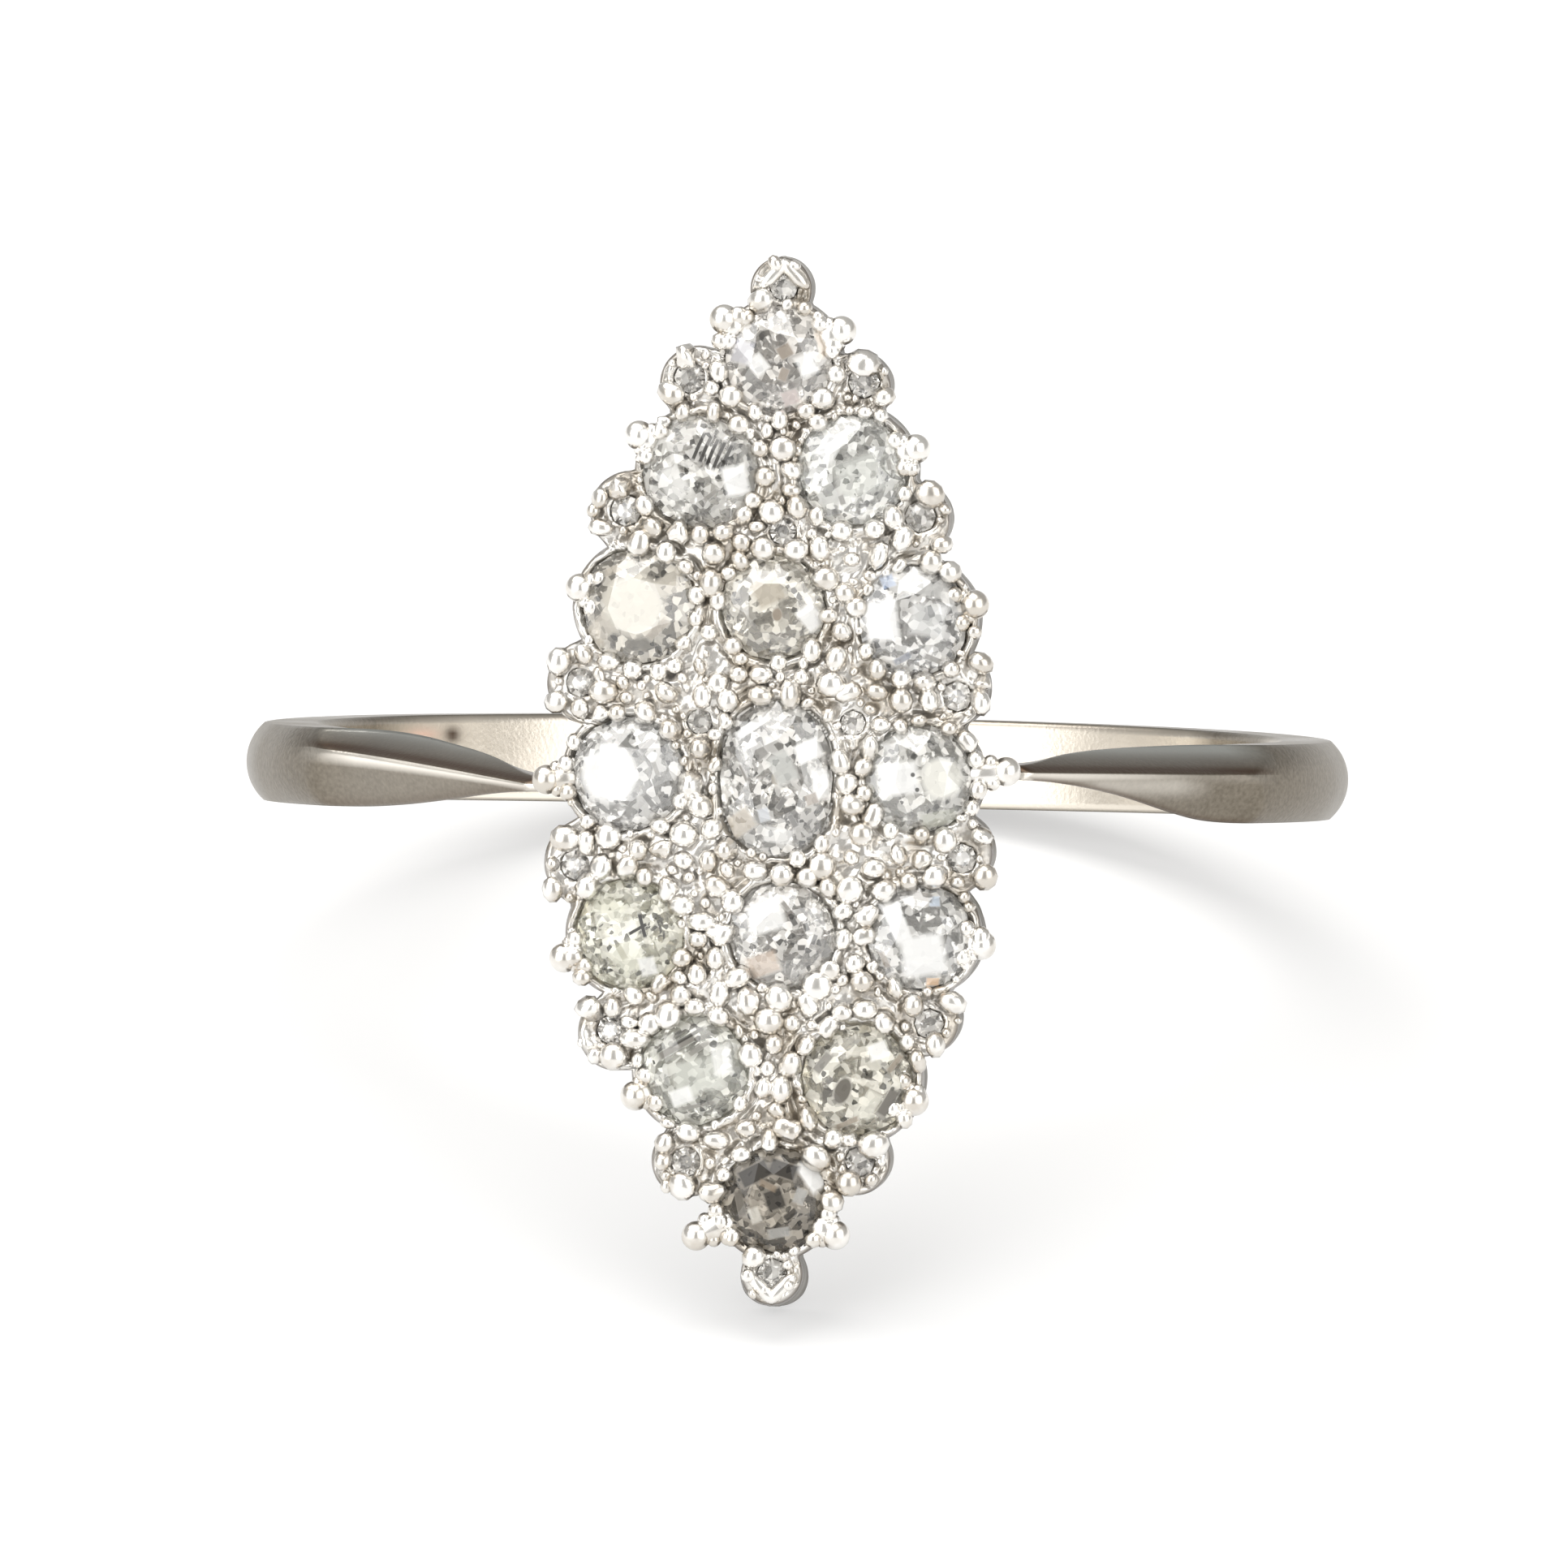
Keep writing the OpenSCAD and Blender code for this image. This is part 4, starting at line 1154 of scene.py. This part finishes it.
# A mark fades out between these distances from its middle, in shares of its own size
MARK_EDGE = (0.8, 1.15)
# Marks in the stones: across and along from the stone's middle, half width, half length, turn in
# degrees, 1 for round or 0 for a facet's straight edges, colour, strength. White marks are painted
# highlights, blue and orange ones painted glints of fire, and dark and coloured ones paint dark
# facets and reflections as well as the stones' own clouds and inclusions
STONE_MARKS = {
    "stone_1": [
        (0.80, 0.28, 0.13, 0.24, 15, 0, (0.62, 0.52, 0.42), 0.7),
        (0.22, -0.66, 0.15, 0.13, 20, 0, (0.44, 0.36, 0.34), 0.8),
        (-0.62, 0.12, 0.18, 0.20, -15, 0, (0.36, 0.36, 0.41), 0.7),
        (-0.34, -0.10, 0.15, 0.17, 40, 0, WHITE, 0.85),
        (0.50, -0.10, 0.16, 0.20, 25, 0, WHITE, 0.8),
        (0.12, 0.14, 0.13, 0.12, 30, 0, BROWN, 0.85),
        (0.10, -0.26, 0.08, 0.12, -20, 0, BROWN, 0.8),
        (-0.10, 0.50, 0.16, 0.06, 25, 0, SMOKE, 0.7),
    ],
    "stone_2_left": [
        *[(0.02 + 0.12 * k, 0.45 - 0.05 * k, 0.034, 0.28, -22, 0, DARK, 0.95) for k in range(5)],
        (0.66, -0.14, 0.20, 0.26, 12, 0, WHITE, 0.9),
        (0.24, -0.40, 0.04, 0.16, -50, 0, SMOKE, 0.8),
        (-0.42, -0.20, 0.22, 0.30, 30, 0, WHITE, 0.45),
    ],
    "stone_2_right": [
        (0.10, -0.10, 0.40, 0.34, 20, 0, (0.66, 0.69, 0.63), 0.35),
        (-0.42, 0.38, 0.16, 0.22, -30, 0, WHITE, 0.6),
        (0.28, 0.52, 0.05, 0.10, -30, 0, SMOKE, 0.8),
        (-0.20, -0.52, 0.05, 0.09, 20, 0, SMOKE, 0.8),
        (0.62, 0.10, 0.04, 0.10, 10, 0, SMOKE, 0.7),
    ],
    "stone_3_left": [
        (0.0, 0.0, 0.53, 0.53, 0, 1, (0.47, 0.445, 0.38), 0.9),
        (0.42, -0.40, 0.24, 0.07, 45, 0, BROWN, 0.6),
        (-0.62, -0.42, 0.26, 0.20, 40, 0, (0.40, 0.35, 0.28), 0.5),
        (0.62, 0.40, 0.24, 0.18, 40, 0, (0.44, 0.40, 0.33), 0.5),
        (-0.30, 0.66, 0.30, 0.07, 22, 0, (0.24, 0.20, 0.15), 0.6),
    ],
    "stone_3_middle": [
        (-0.08, 0.28, 0.26, 0.24, 25, 0, (0.32, 0.27, 0.20), 0.7),
        (0.66, -0.16, 0.18, 0.22, 40, 0, WHITE, 0.9),
        (0.08, -0.12, 0.09, 0.12, 0, 1, BROWN, 0.9),
        (-0.40, -0.10, 0.07, 0.14, 30, 0, SMOKE, 0.7),
        (0.10, -0.55, 0.18, 0.05, -15, 0, SMOKE, 0.7),
    ],
    "stone_3_right": [
        (-0.60, 0.0, 0.26, 0.34, 8, 0, WHITE, 0.92),
        (0.10, 0.62, 0.38, 0.16, -12, 0, GREY, 0.75),
        (0.18, 0.02, 0.30, 0.28, -8, 0, (0.58, 0.59, 0.59), 0.55),
        (-0.24, -0.66, 0.16, 0.06, 30, 0, (0.10, 0.12, 0.17), 0.8),
        (0.30, -0.66, 0.18, 0.05, -20, 0, SMOKE, 0.8),
        (-0.50, 0.68, 0.12, 0.11, 20, 0, (0.36, 0.48, 0.70), 0.6),
        (0.34, 0.72, 0.10, 0.04, 30, 0, DARK, 0.8),
    ],
    "stone_4_left": [
        (-0.27, 0.0, 0.50, 0.50, 0, 1, WHITE, 0.94),
        (0.42, 0.50, 0.05, 0.16, -40, 0, DARK, 0.8),
        (0.58, 0.10, 0.04, 0.14, 20, 0, SMOKE, 0.8),
        (0.46, -0.46, 0.05, 0.14, 35, 0, DARK, 0.8),
        (-0.70, 0.52, 0.04, 0.14, -50, 0, DARK, 0.8),
    ],
    "stone_4_middle": [
        (0.12, 0.20, 0.20, 0.28, 25, 0, (0.40, 0.41, 0.39), 0.75),
        (-0.28, 0.48, 0.11, 0.14, 40, 0, (0.12, 0.115, 0.105), 0.8),
        (0.56, 0.50, 0.22, 0.17, 25, 0, WHITE, 0.9),
        (0.78, -0.08, 0.14, 0.28, 8, 0, WHITE, 0.8),
        (0.62, -0.34, 0.11, 0.10, 20, 0, BROWN, 0.85),
        (-0.62, -0.78, 0.26, 0.20, 35, 0, (0.42, 0.36, 0.28), 0.75),
        (-0.20, -0.62, 0.10, 0.12, 15, 0, (0.40, 0.46, 0.56), 0.5),
        (-0.42, 0.92, 0.34, 0.08, 35, 0, WHITE, 0.75),
        (0.05, -0.98, 0.26, 0.14, -10, 0, WHITE, 0.55),
        (0.10, -0.42, 0.05, 0.13, -35, 0, DARK, 0.8),
        (0.30, -0.72, 0.05, 0.13, 30, 0, DARK, 0.8),
        (-0.55, 0.10, 0.04, 0.18, 25, 0, SMOKE, 0.8),
    ],
    "stone_4_right": [
        (-0.42, 0.0, 0.34, 0.28, 8, 0, WHITE, 0.88),
        (0.34, 0.02, 0.38, 0.36, -5, 1, (0.72, 0.71, 0.65), 0.8),
        (-0.44, 0.60, 0.22, 0.14, 30, 0, GREY, 0.6),
        (0.32, -0.68, 0.34, 0.14, 12, 0, (0.34, 0.345, 0.28), 0.75),
        (-0.18, 0.08, 0.04, 0.04, 0, 1, DARK, 0.9),
        (-0.10, -0.18, 0.04, 0.04, 0, 1, DARK, 0.9),
    ],
    "stone_5_left": [
        (0.06, -0.40, 0.26, 0.26, 35, 0, (0.55, 0.55, 0.46), 0.6),
        (0.40, -0.55, 0.14, 0.16, 10, 0, WHITE, 0.8),
        (-0.30, 0.45, 0.30, 0.16, -20, 0, (0.52, 0.52, 0.42), 0.5),
        (-0.05, -0.30, 0.06, 0.16, 30, 0, (0.26, 0.25, 0.18), 0.7),
        (0.32, 0.16, 0.035, 0.24, 15, 0, DARK, 1),
        (0.24, 0.10, 0.03, 0.20, -60, 0, DARK, 1),
    ],
    "stone_5_middle": [
        (-0.28, 0.32, 0.32, 0.26, 15, 0, WHITE, 0.8),
        (-0.32, -0.50, 0.28, 0.20, 20, 0, (0.50, 0.40, 0.32), 0.8),
        (0.20, 0.26, 0.05, 0.09, 30, 0, DARK, 0.9),
        (0.42, 0.16, 0.05, 0.08, 20, 0, DARK, 0.9),
        (0.56, -0.06, 0.04, 0.10, -20, 0, DARK, 0.9),
        (0.34, -0.20, 0.07, 0.05, 0, 0, DARK, 0.9),
        (0.12, -0.24, 0.04, 0.10, -30, 0, SMOKE, 0.9),
        (0.06, 0.52, 0.04, 0.10, 40, 0, SMOKE, 0.8),
    ],
    "stone_5_right": [
        (-0.46, 0.24, 0.15, 0.36, 20, 0, WHITE, 0.9),
        (0.0, -0.32, 0.38, 0.36, 10, 0, WHITE, 0.92),
        (0.20, -0.78, 0.12, 0.07, 0, 0, (0.75, 0.45, 0.22), 0.75),
        (0.20, 0.62, 0.10, 0.09, 0, 0, (0.36, 0.50, 0.68), 0.6),
        (-0.36, 0.72, 0.22, 0.07, 18, 0, DARK, 0.85),
        (0.0, 0.70, 0.18, 0.08, -12, 0, SMOKE, 0.85),
        (-0.66, -0.40, 0.05, 0.16, 25, 0, BROWN, 0.7),
    ],
    "stone_6_left": [
        (0.10, -0.08, 0.42, 0.30, 15, 0, (0.50, 0.52, 0.48), 0.5),
        (-0.27, 0.42, 0.40, 0.07, 30, 0, SMOKE, 0.9),
        (-0.08, 0.60, 0.34, 0.035, 30, 0, DARK, 0.85),
        (0.12, 0.40, 0.22, 0.05, 35, 0, SMOKE, 0.8),
        (-0.18, -0.44, 0.20, 0.14, 20, 0, WHITE, 0.8),
        (0.52, 0.20, 0.16, 0.26, 10, 0, WHITE, 0.6),
        (0.10, -0.60, 0.34, 0.035, 12, 0, SMOKE, 0.8),
    ],
    "stone_6_right": [
        (-0.30, -0.18, 0.15, 0.26, -20, 1, SMOKE, 0.97),
        (0.50, -0.38, 0.10, 0.28, -30, 0, SMOKE, 0.95),
        (-0.64, 0.30, 0.08, 0.22, -38, 0, SMOKE, 0.9),
        (0.08, 0.18, 0.04, 0.04, 0, 1, DARK, 0.9),
        (0.32, 0.52, 0.18, 0.14, 20, 0, WHITE, 0.85),
        (0.16, -0.42, 0.14, 0.26, -30, 0, (0.58, 0.57, 0.50), 0.6),
        (0.62, 0.30, 0.05, 0.20, -40, 0, BROWN, 0.8),
        (-0.20, -0.74, 0.22, 0.05, 25, 0, BROWN, 0.8),
    ],
    "stone_7": [
        (0.68, 0.46, 0.20, 0.30, 35, 0, WHITE, 0.92),
        (-0.34, 0.46, 0.30, 0.16, 28, 0, DARK, 0.95),
        (0.16, 0.54, 0.26, 0.14, -18, 0, DARK, 0.95),
        (0.02, 0.02, 0.17, 0.19, 20, 0, DARK, 0.92),
        (0.30, -0.24, 0.14, 0.06, 40, 0, DARK, 0.9),
        (-0.58, -0.06, 0.07, 0.24, 12, 0, SMOKE, 0.9),
        (-0.32, -0.26, 0.10, 0.14, 20, 0, (0.50, 0.48, 0.43), 0.8),
        (0.46, 0.08, 0.10, 0.14, -20, 0, GREY, 0.8),
        (0.10, -0.56, 0.20, 0.09, 10, 0, GREY, 0.8),
        (-0.10, 0.26, 0.16, 0.06, -25, 0, BROWN, 0.8),
    ],
}


def mark_mask(tree, place, gem, mark):
    """How much of a mark there is at a place in a stone: its strength inside it and 0 outside.
    The place is taken into the mark's own directions and sizes. A round mark ends at a distance
    of 1, and a facet where the larger of its two distances is 1."""
    x, y, half_wide, half_long, turned, is_round, _, strength = mark
    base, ways = on_dome(gem[0], gem[1], 0.0)
    swing = math.radians(turned)
    wide = math.cos(swing) * ways[0] + math.sin(swing) * ways[1]
    long = math.cos(swing) * ways[1] - math.sin(swing) * ways[0]
    directions = np.stack([wide, long, ways[2]]) @ upright
    mapping = tree.nodes.new("ShaderNodeMapping")
    mapping.vector_type = "TEXTURE"
    mapping.inputs["Location"].default_value = laid(base + x * ways[0] + y * ways[1])
    mapping.inputs["Rotation"].default_value = Matrix(directions.T).to_euler()
    mapping.inputs["Scale"].default_value = (half_wide * MM, half_long * MM, 1)
    tree.links.new(place, mapping.inputs["Vector"])
    if is_round:
        distance = tree.nodes.new("ShaderNodeVectorMath")
        distance.operation = "LENGTH"
        tree.links.new(mapping.outputs["Vector"], distance.inputs[0])
        size = distance.outputs["Value"]
    else:
        parts = tree.nodes.new("ShaderNodeSeparateXYZ")
        folded = tree.nodes.new("ShaderNodeVectorMath")
        folded.operation = "ABSOLUTE"
        tree.links.new(mapping.outputs["Vector"], folded.inputs[0])
        tree.links.new(folded.outputs["Vector"], parts.inputs["Vector"])
        larger = tree.nodes.new("ShaderNodeMath")
        larger.operation = "MAXIMUM"
        tree.links.new(parts.outputs["X"], larger.inputs[0])
        tree.links.new(parts.outputs["Y"], larger.inputs[1])
        size = larger.outputs["Value"]
    return range_node(tree, size, strength, 0.0, *MARK_EDGE)


def glint_node(tree, place, scale, colour, steps):
    """Painted glints and dark facets in a stone: cells of random size, each with one share of a
    colour. Steps are where a share starts in the cells' random numbers, and the share."""
    cells = tree.nodes.new("ShaderNodeTexVoronoi")
    cells.inputs["Scale"].default_value = scale
    tree.links.new(place, cells.inputs["Vector"])
    parts = tree.nodes.new("ShaderNodeSeparateXYZ")
    tree.links.new(cells.outputs["Color"], parts.inputs["Vector"])
    stops = [(start, [share * part for part in colour]) for start, share in steps]
    return ramp_node(tree, parts.outputs["X"], stops, "CONSTANT")


def old_cut(name, tint, gem=None, marks=()):
    """A clear stone with a tint and small painted glints, and marks: painted highlights in milky
    white, and dark and coloured marks that are painted dark facets, glints and reflections as well as
    the stone's own inclusions.
    """
    material, tree, shader, place = new_material(name)
    shader.inputs["Roughness"].default_value = 0.0
    shader.inputs["IOR"].default_value = DULL_INDEX.get(name, STONE_INDEX)
    colour = glint_node(tree, place, GLINT_CELLS, tint, GLINT_STEPS)
    clear = glint_node(tree, place, CLEAR_CELLS, (1, 1, 1), CLEAR_STEPS)
    for mark in marks:
        mask = mark_mask(tree, place, gem, mark)
        colour = mix_node(tree, mask, colour, mark[6])
        clear = mix_node(tree, mask, clear, (0, 0, 0))
    tree.links.new(colour, shader.inputs["Base Color"])
    tree.links.new(clear, shader.inputs["Transmission Weight"])
    return material


for (name, node), gem in zip(stone_nodes.items(), stones):
    node.data.materials.clear()
    node.data.materials.append(old_cut(name, STONE_TINTS[name], gem, STONE_MARKS[name]))
chip_diamond = old_cut("chip_diamond", CHIP_TINT)
for node in chip_nodes.values():
    node.data.materials.clear()
    node.data.materials.append(chip_diamond)
